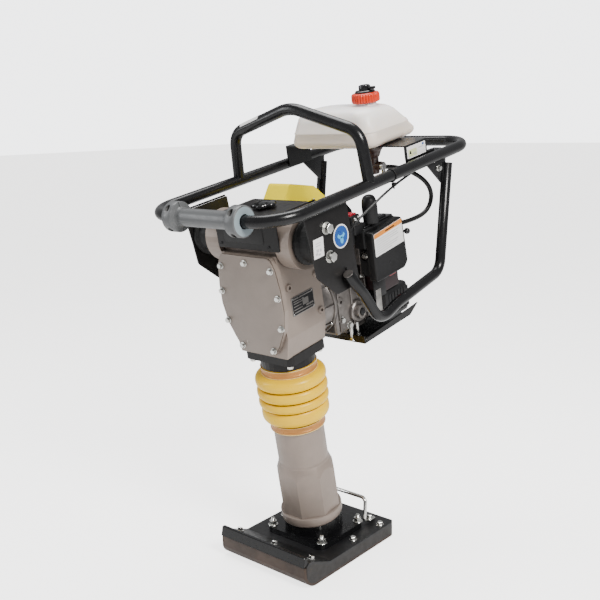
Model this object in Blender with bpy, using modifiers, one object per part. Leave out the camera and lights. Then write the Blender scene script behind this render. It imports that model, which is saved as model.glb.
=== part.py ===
"""A tamping rammer: a petrol engine drives a crank gear, and a ram piston between two springs
bounces the foot. The machine above the foot leans forward with the leg, and the foot lies flat.

World axes: Z up, the foot stands on Z = 0, the front (roller end) is -Y, and X runs across.
Everything that leans is parented to one empty, whose own axes are X across, Y to the rear and
Z up along the leg. Lengths are in metres. Run with: blender --background --python part.py
"""

import math

import bmesh
import bpy
from mathutils import Matrix, Vector

# Driving dimensions
LEAN = math.radians(10.3)
LEG_FOOT_Y = 0.0121
GAP = 0.0003

SHOE_HALF_WIDTH = 0.1325
SHOE_FRONT_Y = -0.190
SHOE_REAR_Y = 0.165
SOLE_THICKNESS = 0.006
SHOE_TOP = 0.036

CYLINDER_RADIUS = 0.060
CYLINDER_BORE = 0.046
CYLINDER_NECK = 0.0525
CYLINDER_FOOT = 0.087
CYLINDER_TOP = 0.455
GUIDE_FOOT = 0.395
GUIDE_RADIUS = 0.0605
ROD_RADIUS = 0.013

CRANK_HEIGHT = 0.690
CRANK_THROW = 0.030
ROD_LENGTH = 0.130
TOOTH_MODULE = 0.0022
GEAR_TEETH = 60
PINION_TEETH = 12
CENTRE_PLAY = 0.0006
ENGINE_HEIGHT = CRANK_HEIGHT - (GEAR_TEETH + PINION_TEETH) * TOOTH_MODULE / 2 - CENTRE_PLAY

TUBE = 0.0133
GUARD_TUBE = 0.0125
RAIL_X = 0.193
RAIL_HEIGHT = 0.886
RAIL_FRONT = -0.168
RAIL_REAR = 0.573
PLATE_OUTER_X = RAIL_X - TUBE - 0.0004
PLATE_THICKNESS = 0.004
MOUNT_HEIGHT = 0.800
MOUNT_DEPTH = -0.014
LID_HEIGHT = 0.8655
KNOB_AT = (0.010, -0.008)

# Turns that lay an object's own Z along another axis
ALONG_X = (0.0, math.pi / 2, 0.0)
ALONG_Y = (-math.pi / 2, 0.0, 0.0)
UPRIGHT = (0.0, 0.0, 0.0)


def clear_scene():
    for obj in list(bpy.data.objects):
        bpy.data.objects.remove(obj, do_unlink=True)


def new_collection(name):
    collection = bpy.data.collections.new(name)
    bpy.context.scene.collection.children.link(collection)
    return collection


clear_scene()
PARTS = new_collection("tamping_rammer")
CUTTERS = new_collection("cutters")


def paint(name, colour, roughness, metallic=0.0):
    material = bpy.data.materials.new(name)
    material.use_nodes = True
    shader = material.node_tree.nodes["Principled BSDF"]
    shader.inputs["Base Color"].default_value = (*colour, 1.0)
    shader.inputs["Roughness"].default_value = roughness
    shader.inputs["Metallic"].default_value = metallic
    return material


BLACK_PAINT = paint("black_paint", (0.018, 0.018, 0.020), 0.38)
CAST_PAINT = paint("cast_paint", (0.40, 0.345, 0.31), 0.50, 0.15)
ALUMINIUM = paint("cast_aluminium", (0.50, 0.47, 0.44), 0.45, 0.80)
ZINC = paint("zinc_plate", (0.60, 0.60, 0.58), 0.30, 1.0)
STEEL = paint("machined_steel", (0.45, 0.45, 0.45), 0.28, 1.0)
BLACK_PLASTIC = paint("black_plastic", (0.020, 0.020, 0.022), 0.55)
BLACK_RUBBER = paint("black_rubber", (0.015, 0.015, 0.015), 0.80)
YELLOW_BOOT = paint("yellow_boot", (0.90, 0.52, 0.01), 0.35)
TAN_BAND = paint("tan_band", (0.60, 0.34, 0.11), 0.40)
YELLOW_PAINT = paint("yellow_paint", (0.95, 0.72, 0.0), 0.35)
RED_PLASTIC = paint("red_plastic", (0.60, 0.02, 0.03), 0.40)
ORANGE_PLASTIC = paint("orange_plastic", (0.80, 0.09, 0.01), 0.35)
TANK_PLASTIC = paint("tank_plastic", (0.80, 0.75, 0.68), 0.35)
ROLLER_PLASTIC = paint("roller_plastic", (0.56, 0.56, 0.55), 0.45)
BROWN_PLASTIC = paint("brown_plastic", (0.12, 0.07, 0.05), 0.35)


def empty(name, at, turn=UPRIGHT, parent=None):
    obj = bpy.data.objects.new(name, None)
    obj.location = at
    obj.rotation_euler = turn
    obj.parent = parent
    PARTS.objects.link(obj)
    return obj


MACHINE = empty("machine_axis", (0.0, LEG_FOOT_Y, 0.0), (LEAN, 0.0, 0.0))


# ---------------------------------------------------------------- helpers


def add(name, data, material, at, turn, parent):
    """Places an object. With no material it is a cutter, which never shows."""
    obj = bpy.data.objects.new(name, data)
    obj.location = at
    obj.rotation_euler = turn
    obj.parent = parent
    if material is None:
        CUTTERS.objects.link(obj)
        obj.hide_render = True
        obj.display_type = "WIRE"
    else:
        PARTS.objects.link(obj)
        data.materials.append(material)
    return obj


def round_edges(obj, width, segments=2, angle=math.radians(40)):
    bevel = obj.modifiers.new("Rounded", "BEVEL")
    bevel.width = width
    bevel.segments = segments
    bevel.limit_method = "ANGLE"
    bevel.angle_limit = angle
    return obj


def block(name, material, size, at, parent=None, turn=UPRIGHT, rounding=0.0, segments=2):
    mesh = bpy.data.meshes.new(name)
    shape = bmesh.new()
    bmesh.ops.create_cube(shape, size=1.0, matrix=Matrix.Diagonal((*size, 1.0)))
    shape.to_mesh(mesh)
    shape.free()
    obj = add(name, mesh, material, at, turn, parent)
    if rounding:
        round_edges(obj, rounding, segments)
    return obj


def span(name, material, low, high, parent=None, rounding=0.0, segments=2):
    """A block given by its two opposite corners."""
    low = Vector(low)
    high = Vector(high)
    return block(name, material, high - low, (low + high) / 2, parent, UPRIGHT, rounding, segments)


def cylinder(name, material, radius, length, at, parent=None, turn=UPRIGHT, sides=24):
    mesh = bpy.data.meshes.new(name)
    shape = bmesh.new()
    bmesh.ops.create_cone(
        shape, cap_ends=True, segments=sides, radius1=radius, radius2=radius, depth=length
    )
    shape.to_mesh(mesh)
    shape.free()
    return add(name, mesh, material, at, turn, parent)


def turned(name, material, profile, at, parent=None, turn=UPRIGHT, steps=32, ring=False):
    """Turns (radius, height) points about Z: the outer side from the top down, then, for a
    ring, the inner side from the bottom up."""
    mesh = bpy.data.meshes.new(name)
    points = [(radius, 0.0, height) for radius, height in profile]
    edges = [(i, i + 1) for i in range(len(points) - 1)]
    if ring:
        edges.append((len(points) - 1, 0))
    mesh.from_pydata(points, edges, [])
    obj = add(name, mesh, material, at, turn, parent)
    screw = obj.modifiers.new("Turned", "SCREW")
    screw.steps = steps
    screw.render_steps = steps
    screw.use_merge_vertices = True
    screw.merge_threshold = 0.00005
    return obj


def filleted(corners, radius, steps=5, closed=False):
    """The corners with each bend replaced by an arc of the given radius."""
    corners = [Vector(corner) for corner in corners]
    count = len(corners)
    path = []
    for i, corner in enumerate(corners):
        bend = radius[i] if isinstance(radius, (list, tuple)) else radius
        if not bend or (not closed and i in (0, count - 1)):
            path.append(corner)
            continue
        back = (corners[i - 1] - corner).normalized()
        ahead = (corners[(i + 1) % count] - corner).normalized()
        half = back.angle(ahead) / 2
        centre = corner + (back + ahead).normalized() * bend / math.sin(half)
        start = corner + back * bend / math.tan(half) - centre
        sweep = math.pi - 2 * half
        axis = Vector((0.0, 0.0, 1.0)) if len(corner) == 2 else back.cross(ahead).normalized()
        for step in range(steps + 1):
            turn = Matrix.Rotation(-sweep * step / steps, 3, axis)
            path.append(centre + turn @ start)
    return path


def tube(name, material, path, radius, at=(0, 0, 0), parent=None, closed=False, roundness=2):
    curve = bpy.data.curves.new(name, "CURVE")
    curve.dimensions = "3D"
    curve.bevel_depth = radius
    curve.bevel_resolution = roundness
    curve.use_fill_caps = not closed
    spline = curve.splines.new("POLY")
    spline.points.add(len(path) - 1)
    for point, place in zip(spline.points, path):
        point.co = (*place, 1.0)
    spline.use_cyclic_u = closed
    return add(name, curve, material, at, UPRIGHT, parent)


def arc2(centre, radius, start, end, steps):
    """Points of a flat arc, with its angles in degrees."""
    points = []
    for step in range(steps + 1):
        angle = math.radians(start + (end - start) * step / steps)
        points.append((centre[0] + radius * math.cos(angle), centre[1] + radius * math.sin(angle)))
    return points


def rounded_outline(corners, radius, steps=4):
    """A closed flat outline with every corner rounded."""
    flat = [(x, y, 0.0) for x, y in corners]
    return [(point[0], point[1]) for point in filleted(flat, radius, steps, closed=True)]


def rectangle(half_x, half_y, centre=(0.0, 0.0)):
    x, y = centre
    return [
        (x - half_x, y - half_y),
        (x + half_x, y - half_y),
        (x + half_x, y + half_y),
        (x - half_x, y + half_y),
    ]


def sheet(name, material, outline, thickness, at=(0, 0, 0), parent=None, turn=UPRIGHT, holes=()):
    """A flat outline in its own XY plane, with its thickness centred on that plane."""
    curve = bpy.data.curves.new(name, "CURVE")
    curve.dimensions = "2D"
    curve.fill_mode = "BOTH"
    curve.extrude = thickness / 2
    for loop in (outline, *holes):
        spline = curve.splines.new("POLY")
        spline.points.add(len(loop) - 1)
        for point, (x, y) in zip(spline.points, loop):
            point.co = (x, y, 0.0, 1.0)
        spline.use_cyclic_u = True
    return add(name, curve, material, at, turn, parent)


# Turns for a sheet: its outline is (x, height) or (rearward, height)
FACING_Y = (math.pi / 2, 0.0, 0.0)
FACING_X = (math.pi / 2, 0.0, math.pi / 2)


def as_mesh(curve):
    """Replaces a curve object with a closed mesh object, which a Boolean can use."""
    bpy.context.view_layer.update()
    graph = bpy.context.evaluated_depsgraph_get()
    mesh = bpy.data.meshes.new_from_object(curve.evaluated_get(graph))
    shape = bmesh.new()
    shape.from_mesh(mesh)
    bmesh.ops.remove_doubles(shape, verts=shape.verts, dist=1e-6)
    bmesh.ops.recalc_face_normals(shape, faces=shape.faces)
    shape.to_mesh(mesh)
    shape.free()
    name = curve.name
    turn = curve.rotation_euler.copy()
    at = curve.location.copy()
    parent = curve.parent
    material = curve.data.materials[0] if curve.data.materials else None
    bpy.data.objects.remove(curve, do_unlink=True)
    mesh.materials.clear()
    return add(name, mesh, material, at, turn, parent)


def boolean(target, operand, operation):
    modifier = target.modifiers.new(operation.title(), "BOOLEAN")
    modifier.operation = operation
    modifier.solver = "EXACT"
    modifier.object = operand
    return target


def joined(target, *operands):
    for operand in operands:
        boolean(target, operand, "UNION")
    return target


def cut(target, *operands):
    for operand in operands:
        boolean(target, operand, "DIFFERENCE")
    return target


def kept_inside(target, operand):
    return boolean(target, operand, "INTERSECT")


# ---------------------------------------------------------------- the foot


def shoe_plan():
    """The foot seen from above, tall enough to trim the sole and the shoe."""
    middle = (SHOE_FRONT_Y - 0.01 + SHOE_REAR_Y) / 2
    reach = (SHOE_REAR_Y - SHOE_FRONT_Y + 0.01) / 2
    outline = rounded_outline(rectangle(SHOE_HALF_WIDTH, reach, (0.0, middle)), 0.020, 4)
    return as_mesh(sheet("plan_cutter", None, outline, 0.3))


def make_shoe():
    toe = (-0.150, 0.040)
    nose = arc2(toe, 0.040, 270, 197, 7)
    inner_nose = arc2(toe, 0.040 - SOLE_THICKNESS, 197, 270, 7)
    sole_profile = [
        (SHOE_REAR_Y, 0.004),
        (SHOE_REAR_Y - 0.004, 0.0),
        *nose,
        (SHOE_FRONT_Y + 0.0005, 0.054),
        (SHOE_FRONT_Y + 0.0065, 0.054),
        *inner_nose,
        (SHOE_REAR_Y, SOLE_THICKNESS),
    ]
    width = 2 * SHOE_HALF_WIDTH
    plan = shoe_plan()
    sole = as_mesh(sheet("shoe_sole", BROWN_PLASTIC, sole_profile, width, turn=FACING_X))
    kept_inside(sole, plan)

    block_nose = arc2(toe, 0.040 - SOLE_THICKNESS - GAP, 270, 197, 7)
    shoe_profile = [
        (SHOE_REAR_Y, SOLE_THICKNESS + GAP),
        *block_nose,
        (SHOE_FRONT_Y + 0.0072, 0.056),
        (SHOE_FRONT_Y + 0.0150, 0.0625),
        (-0.165, 0.0625),
        (-0.100, SHOE_TOP),
        (SHOE_REAR_Y - 0.004, SHOE_TOP),
        (SHOE_REAR_Y, SHOE_TOP - 0.006),
    ]
    shoe = as_mesh(sheet("shoe_body", BLACK_PAINT, shoe_profile, width, turn=FACING_X))
    kept_inside(shoe, plan)

    bar_profile = [
        (-0.1925, 0.0555),
        (-0.1835, 0.0565),
        (-0.1760, 0.0640),
        (-0.1780, 0.0780),
        (-0.1875, 0.0790),
    ]
    bar = as_mesh(sheet("toe_bar", BLACK_PAINT, bar_profile, 0.262, turn=FACING_X))
    round_edges(bar, 0.0015, 1)


def make_leg_base():
    flange_y = 0.008
    low = SHOE_TOP + GAP
    high = 0.050
    outline = rounded_outline(rectangle(0.090, 0.086, (0.0, flange_y)), 0.022, 4)
    casting = as_mesh(
        sheet("leg_base", BLACK_PAINT, outline, high - low, (0.0, 0.0, (low + high) / 2))
    )
    boss_low = 0.010
    boss_high = CYLINDER_FOOT - GAP
    boss = cylinder(
        "base_boss", None, 0.071, boss_high - boss_low, (0, 0, (boss_high + boss_low) / 2), MACHINE, sides=32
    )
    below = block("base_trim", None, (0.4, 0.4, 0.1), (0.0, 0.0, low - 0.05))
    boss_cut = cut(boss, below)
    joined(casting, boss_cut)


def make_foot_handle():
    low = 0.0365 + 0.0045
    path = filleted(
        [
            (-0.088, 0.135, low),
            (-0.084, 0.100, low + 0.003),
            (-0.078, 0.112, 0.100),
            (0.078, 0.112, 0.100),
            (0.084, 0.100, low + 0.003),
            (0.088, 0.135, low),
        ],
        [0, 0.006, 0.014, 0.014, 0.006, 0],
        4,
    )
    tube("foot_handle", ZINC, path, 0.0042)


def make_spring_cylinder():
    radius = CYLINDER_RADIUS
    body = turned(
        "spring_cylinder",
        CAST_PAINT,
        [
            (0.0, CYLINDER_TOP),
            (CYLINDER_NECK, CYLINDER_TOP),
            (CYLINDER_NECK, 0.361),
            (radius, 0.358),
            (radius, 0.112),
            (0.073, 0.112),
            (0.075, 0.110),
            (0.075, 0.090),
            (0.071, CYLINDER_FOOT),
            (0.0, CYLINDER_FOOT),
        ],
        (0, 0, 0),
        MACHINE,
        steps=32,
    )
    corner = 0.0675 / math.cos(math.pi / 8)
    octagon = cylinder("octagon", None, corner, 0.140, (0, 0, 0.177), MACHINE, (0, 0, math.pi / 8), 8)
    chamfer = turned(
        "octagon_chamfer",
        None,
        [(0, 0.2445), (radius, 0.2445), (corner + 0.002, 0.205), (corner + 0.002, 0.1), (0, 0.1)],
        (0, 0, 0),
        MACHINE,
        steps=32,
    )
    kept_inside(octagon, chamfer)
    bore = cylinder("cylinder_bore", None, CYLINDER_BORE, 0.370, (0, 0, 0.286), MACHINE, sides=32)
    joined(body, octagon)
    cut(body, bore)

    turned(
        "rod_guide",
        STEEL,
        [
            (CYLINDER_BORE - GAP, 0.385),
            (CYLINDER_BORE - GAP, 0.371),
            (ROD_RADIUS + GAP, 0.371),
            (ROD_RADIUS + GAP, 0.385),
        ],
        (0, 0, 0),
        MACHINE,
        steps=24,
        ring=True,
    )


def make_spring(name, low, high):
    turns = 4
    steps = 9
    coil = 0.034
    wire = 0.0050
    rise = (high - low - 2 * wire - 2 * GAP) / (turns * steps)
    path = []
    for step in range(turns * steps + 1):
        angle = 2 * math.pi * step / steps
        height = low + wire + GAP + rise * step
        path.append((coil * math.cos(angle), coil * math.sin(angle), height))
    tube(name, STEEL, path, wire, (0, 0, 0), MACHINE, roundness=1)


def make_boot():
    inner = 0.0665
    cuff = CYLINDER_RADIUS + GAP
    upper_cuff = GUIDE_RADIUS + GAP
    wall = 0.0028
    profile = [(upper_cuff + wall, 0.4970), (upper_cuff + wall, 0.4780)]
    grooves = [0.4780, 0.4470, 0.4190, 0.3950, 0.3580]
    crests = [0.0835, 0.0835, 0.0830, 0.0800]
    for top, bottom, crest in zip(grooves, grooves[1:], crests):
        half = (top - bottom) / 2
        middle = (top + bottom) / 2
        depth = min(half, 0.013)
        for share in (0.7, -0.7):
            drop = depth * (1 - math.sqrt(1 - share * share)) * 0.8
            profile.append((crest - drop, middle + share * half * 1.2))
        if bottom > grooves[-1]:
            profile.append((crest - 0.0125, bottom))
    profile += [(cuff + wall, 0.3580), (cuff + wall, 0.3340), (cuff, 0.3340), (cuff, 0.3590)]
    profile += [(inner, 0.3690), (inner, 0.4690), (upper_cuff, 0.4770), (upper_cuff, 0.4970)]
    turned("bellows", YELLOW_BOOT, profile, (0, 0, 0), MACHINE, ring=True)

    for name, middle in (("lower_boot_clamp", 0.3445), ("upper_boot_clamp", 0.4875)):
        band = cuff if name.startswith("lower") else upper_cuff
        inside = band + wall + GAP
        outside = inside + 0.0022
        half = 0.0085
        turned(
            name,
            TAN_BAND,
            [
                (outside, middle + half),
                (outside, middle - half),
                (inside, middle - half),
                (inside, middle + half),
            ],
            (0, 0, 0),
            MACHINE,
            steps=32,
            ring=True,
        )


# ---------------------------------------------------------------- the ram and its gearbox


def make_guide():
    outline = rounded_outline(rectangle(0.071, 0.0629, (0.0, -0.0031)), 0.012, 3)
    flange = as_mesh(
        sheet("guide_cylinder", BLACK_PAINT, outline, 0.0220, (0, 0, 0.5304), MACHINE)
    )
    sleeve = turned(
        "guide_sleeve",
        None,
        [
            (0.0, 0.530),
            (0.0640, 0.530),
            (0.0640, 0.4985),
            (GUIDE_RADIUS, 0.4975),
            (GUIDE_RADIUS, GUIDE_FOOT),
            (0.0, GUIDE_FOOT),
        ],
        (0, 0, 0),
        MACHINE,
        steps=32,
    )
    joined(flange, sleeve)
    throat = cylinder("guide_throat", None, 0.0475, 0.060, (0, 0, 0.530), MACHINE, sides=32)
    bore = cylinder(
        "guide_bore", None, CYLINDER_NECK + GAP, 0.160, (0, 0, 0.430), MACHINE, sides=32
    )
    cut(flange, throat, bore)


def cover_corners(rim):
    """Half widths of the round gear cover at their heights, grown by a rim."""
    half_widths = [
        (0.0410, 0.5530),
        (0.0610, 0.5780),
        (0.0805, 0.6160),
        (0.0900, 0.6620),
        (0.0890, 0.7050),
        (0.0820, 0.7520),
        (0.0710, 0.7770),
    ]
    centre = 0.668
    grown = [(across + rim, height + rim * (height - centre) / 0.110) for across, height in half_widths]
    return [(-across, height) for across, height in reversed(grown)] + grown


def make_crankcase():
    rear = 0.0600
    front = -0.0830
    body_outline = [
        (-0.069, 0.5418),
        (0.069, 0.5418),
        (0.080, 0.590),
        (0.080, 0.780),
        (-0.080, 0.780),
        (-0.080, 0.590),
    ]
    length = rear - front - 0.010
    case = as_mesh(
        sheet("crankcase", CAST_PAINT, body_outline, length, (0, rear - length / 2, 0), MACHINE, FACING_Y)
    )
    flange_outline = rounded_outline(cover_corners(0.0025), 0.012, 2)
    flange = as_mesh(
        sheet("case_flange", None, flange_outline, 0.0125, (0, front + 0.00625, 0), MACHINE, FACING_Y)
    )
    crown = span("case_crown", None, (-0.090, -0.0575, 0.770), (0.090, rear, 0.862), MACHINE, 0.010)
    cheek_length = 0.0394
    cheeks = []
    for side in (-1, 1):
        middle = (side * (0.1230 - cheek_length / 2), MOUNT_DEPTH, MOUNT_HEIGHT)
        cheeks.append(cylinder(f"case_cheek_{side}", None, 0.060, cheek_length, middle, MACHINE, ALONG_X, 32))
    joined(case, flange, crown, *cheeks)

    chamber = cylinder(
        "gear_chamber", None, 0.0715, 0.146, (0, -0.027, CRANK_HEIGHT), MACHINE, ALONG_Y, 28
    )
    neck = span("neck_space", None, (-0.0465, -0.050, 0.560), (0.0465, 0.046, 0.690), MACHINE)
    throat = cylinder("case_throat", None, 0.0475, 0.080, (0, 0, 0.560), MACHINE, sides=32)
    bearing_seat = cylinder(
        "bearing_seat", None, 0.0290, 0.050, (0, 0.050, CRANK_HEIGHT), MACHINE, ALONG_Y, 20
    )
    shaft_hole = cylinder(
        "shaft_hole", None, 0.0105, 0.060, (0, 0.050, ENGINE_HEIGHT), MACHINE, ALONG_Y, 20
    )
    cut(case, chamber, neck, throat, bearing_seat, shaft_hole)


def make_front_cover():
    outline = rounded_outline(cover_corners(0.0), 0.012, 3)
    cover = as_mesh(
        sheet("front_cover", CAST_PAINT, outline, 0.0085, (0, -0.0876, 0), MACHINE, FACING_Y)
    )
    round_edges(cover, 0.0025, 1)


def gear_outline(teeth):
    """Straight-sided teeth, with room between the flanks."""
    pitch_radius = teeth * TOOTH_MODULE / 2
    tip = pitch_radius + 0.95 * TOOTH_MODULE
    root = pitch_radius - 1.25 * TOOTH_MODULE
    points = []
    for tooth in range(teeth):
        for share, radius in ((-0.29, root), (-0.09, tip), (0.09, tip), (0.29, root)):
            angle = 2 * math.pi * (tooth + share) / teeth
            points.append((radius * math.cos(angle), radius * math.sin(angle)))
    return points


def make_crank_gear():
    """The gear's origin and its tooth at the pinion lie on the crank axis and straight below it."""
    axis = empty("crank_axis", (0, 0, CRANK_HEIGHT), UPRIGHT, MACHINE)
    outline = gear_outline(GEAR_TEETH)
    gear = as_mesh(sheet("crank_gear", STEEL, outline, 0.016, (0, 0.029, 0), axis, FACING_Y))
    shaft = cylinder("crank_shaft", None, 0.0150, 0.0245, (0, 0.0475, 0), axis, ALONG_Y, 20)
    pin = cylinder("crank_pin", None, 0.0120, 0.034, (0, 0.0095, CRANK_THROW), axis, ALONG_Y, 20)
    weight_outline = arc2((0, 0), 0.058, 200, 340, 12) + arc2((0, 0), 0.022, 340, 200, 8)
    weight = as_mesh(
        sheet("counterweight", None, weight_outline, 0.008, (0, 0.0185, 0), axis, FACING_Y)
    )
    joined(gear, shaft, pin, weight)

    turned(
        "crank_bearing",
        STEEL,
        [(0.0287, 0.0065), (0.0287, -0.0065), (0.0153, -0.0065), (0.0153, 0.0065)],
        (0, 0.0530, CRANK_HEIGHT),
        MACHINE,
        ALONG_Y,
        20,
        ring=True,
    )


def make_connecting_rod():
    axis = empty("crank_pin_axis", (0, 0, CRANK_HEIGHT + CRANK_THROW), UPRIGHT, MACHINE)
    thickness = 0.016
    rod = cylinder("connecting_rod", STEEL, 0.0200, thickness, (0, 0, 0), axis, ALONG_Y, 24)
    shank = block("rod_shank", None, (0.016, 0.010, ROD_LENGTH), (0, 0, -ROD_LENGTH / 2), axis)
    eye = cylinder("rod_eye", None, 0.0130, thickness, (0, 0, -ROD_LENGTH), axis, ALONG_Y, 20)
    hole = cylinder("rod_hole", None, 0.0123, 0.05, (0, 0, 0), axis, ALONG_Y, 20)
    joined(rod, shank, eye)
    cut(rod, hole)


def make_ram_piston():
    """The rod's fork stands astride the connecting rod's eye. Its pin ends are left out, since
    that is the pivot at which the slider and crank are opened."""
    wrist = CRANK_HEIGHT + CRANK_THROW - ROD_LENGTH
    piston = turned(
        "ram_piston",
        STEEL,
        [
            (0.0, 0.512),
            (ROD_RADIUS, 0.512),
            (ROD_RADIUS, 0.2750),
            (0.030, 0.2750),
            (0.0440, 0.2730),
            (0.0440, 0.2550),
            (0.0, 0.2550),
        ],
        (0, 0, 0),
        MACHINE,
        steps=24,
    )
    fork = span("fork", None, (-0.014, -0.0190, 0.500), (0.014, 0.0190, wrist + 0.014), MACHINE)
    slot = span("fork_slot", None, (-0.03, -0.0090, 0.5135), (0.03, 0.0090, 0.7), MACHINE)
    pin_hole = cylinder("pin_hole", None, 0.0060, 0.06, (0, 0, wrist), MACHINE, ALONG_Y, 16)
    cut(fork, slot, pin_hole)
    joined(piston, fork)


def make_clutch():
    turned(
        "clutch_housing",
        ALUMINIUM,
        [
            (0.0810, 0.1040),
            (0.0840, 0.1010),
            (0.0840, 0.0950),
            (0.0780, 0.0900),
            (0.0760, 0.0640),
            (0.0720, 0.0605),
            (0.0135, 0.0605),
            (0.0135, 0.0640),
            (0.0690, 0.0640),
            (0.0700, 0.1040),
        ],
        (0, 0, ENGINE_HEIGHT),
        MACHINE,
        ALONG_Y,
        28,
        ring=True,
    )

    drum_axis = empty("engine_axis", (0, 0, ENGINE_HEIGHT), UPRIGHT, MACHINE)
    half_pitch = math.pi / PINION_TEETH
    phase = math.pi / 2 + half_pitch
    pinion = as_mesh(
        sheet(
            "clutch_drum",
            STEEL,
            [
                (x * math.cos(phase) - y * math.sin(phase), x * math.sin(phase) + y * math.cos(phase))
                for x, y in gear_outline(PINION_TEETH)
            ],
            0.016,
            (0, 0.029, 0),
            drum_axis,
            FACING_Y,
        )
    )
    shaft = cylinder("drum_shaft", None, 0.0095, 0.040, (0, 0.0500, 0), drum_axis, ALONG_Y, 16)
    cup = turned(
        "drum_cup",
        None,
        [
            (0.0560, 0.0960),
            (0.0560, 0.0670),
            (0.0, 0.0670),
            (0.0, 0.0720),
            (0.0525, 0.0720),
            (0.0525, 0.0960),
        ],
        (0, 0, 0),
        drum_axis,
        ALONG_Y,
        24,
    )
    joined(pinion, shaft)
    close_ring(cup)
    joined(pinion, cup)


def close_ring(obj):
    """Adds the edge from a profile's last point to its first."""
    shape = bmesh.new()
    shape.from_mesh(obj.data)
    shape.verts.ensure_lookup_table()
    shape.edges.new((shape.verts[-1], shape.verts[0]))
    shape.to_mesh(obj.data)
    shape.free()


# ---------------------------------------------------------------- the engine


def make_engine():
    front = 0.1045
    block_obj = span(
        "engine_block", ALUMINIUM, (-0.072, front, 0.525), (0.072, 0.236, 0.672), MACHINE, 0.008
    )
    base = span("engine_base", None, (-0.062, 0.150, 0.5145), (0.062, 0.225, 0.540), MACHINE)
    shaft_room = cylinder(
        "shaft_room", None, 0.0118, 0.30, (0, 0.18, ENGINE_HEIGHT), MACHINE, ALONG_Y, 20
    )
    joined(block_obj, base)
    cut(block_obj, shaft_room)

    barrel = span(
        "cylinder_barrel", ALUMINIUM, (-0.044, 0.130, 0.6725), (0.044, 0.216, 0.790), MACHINE
    )
    for fin in range(6):
        height = 0.690 + 0.017 * fin
        plate = span(
            f"fin_{fin}", None, (-0.056, 0.118, height), (0.056, 0.228, height + 0.0045), MACHINE
        )
        joined(barrel, plate)
    span(
        "rocker_cover", BLACK_PAINT, (-0.046, 0.128, 0.7903), (0.046, 0.218, 0.822), MACHINE, 0.008
    )

    fan_outline = rounded_outline(
        [
            (-0.110, 0.5950),
            (0.120, 0.5950),
            (0.120, 0.6400),
            (0.088, 0.6480),
            (0.084, 0.6980),
            (0.060, 0.7220),
            (-0.060, 0.7220),
            (-0.092, 0.7000),
            (-0.110, 0.6400),
        ],
        [0.003, 0.003, 0.010, 0.008, 0.015, 0.020, 0.020, 0.020, 0.020],
        3,
    )
    fan_case = as_mesh(
        sheet("fan_housing", RED_PLASTIC, fan_outline, 0.0635, (0, 0.26825, 0), MACHINE, FACING_Y)
    )
    round_edges(fan_case, 0.004, 1)
    fan_room = cylinder(
        "fan_room", None, 0.0700, 0.10, (0, 0.2895, ENGINE_HEIGHT), MACHINE, ALONG_Y, 24
    )
    fan_hole = cylinder(
        "fan_hole", None, 0.0118, 0.20, (0, 0.25, ENGINE_HEIGHT), MACHINE, ALONG_Y, 20
    )
    cut(fan_case, fan_room, fan_hole)
    shroud = span(
        "engine_shroud", BLACK_PLASTIC, (-0.110, 0.2400, 0.5165), (0.120, 0.338, 0.5945), MACHINE, 0.012, 2
    )
    shroud_room = cylinder(
        "shroud_room", None, 0.0720, 0.30, (0, 0.290, ENGINE_HEIGHT), MACHINE, ALONG_Y, 24
    )
    cut(shroud, shroud_room)

    axis = bpy.data.objects["engine_axis"]
    turned(
        "engine_shaft",
        STEEL,
        [
            (0.0, 0.310),
            (0.010, 0.310),
            (0.010, 0.272),
            (0.064, 0.272),
            (0.064, 0.252),
            (0.010, 0.248),
            (0.010, 0.094),
            (0.0505, 0.094),
            (0.0505, 0.076),
            (0.0, 0.076),
        ],
        (0, 0, 0),
        axis,
        ALONG_Y,
        24,
    )

    recoil = turned(
        "recoil_cover",
        BLACK_PLASTIC,
        [
            (0.0, 0.366),
            (0.030, 0.366),
            (0.055, 0.360),
            (0.067, 0.348),
            (0.0690, 0.3005),
            (0.0660, 0.3005),
            (0.0640, 0.345),
            (0.052, 0.356),
            (0.0, 0.362),
        ],
        (0, 0, ENGINE_HEIGHT),
        MACHINE,
        ALONG_Y,
        24,
    )
    close_ring(recoil)
    snout = cylinder("rope_snout", None, 0.0110, 0.030, (-0.046, 0.3590, 0.652), MACHINE, ALONG_Y, 16)
    snout_trim = span("snout_trim", None, (-0.09, 0.30, 0.60), (0.0, 0.348, 0.70), MACHINE)
    cut(snout, snout_trim)
    joined(recoil, snout)

    grip_axis = empty("recoil_grip_rest", (-0.046, 0.3745, 0.652), UPRIGHT, MACHINE)
    grip = block("recoil_grip", BLACK_RUBBER, (0.095, 0.018, 0.022), (0, 0.0092, 0), grip_axis, UPRIGHT, 0.006)
    joined(grip, cylinder("grip_boss", None, 0.0090, 0.020, (0, 0.0140, 0), grip_axis, ALONG_Y, 16))


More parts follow.
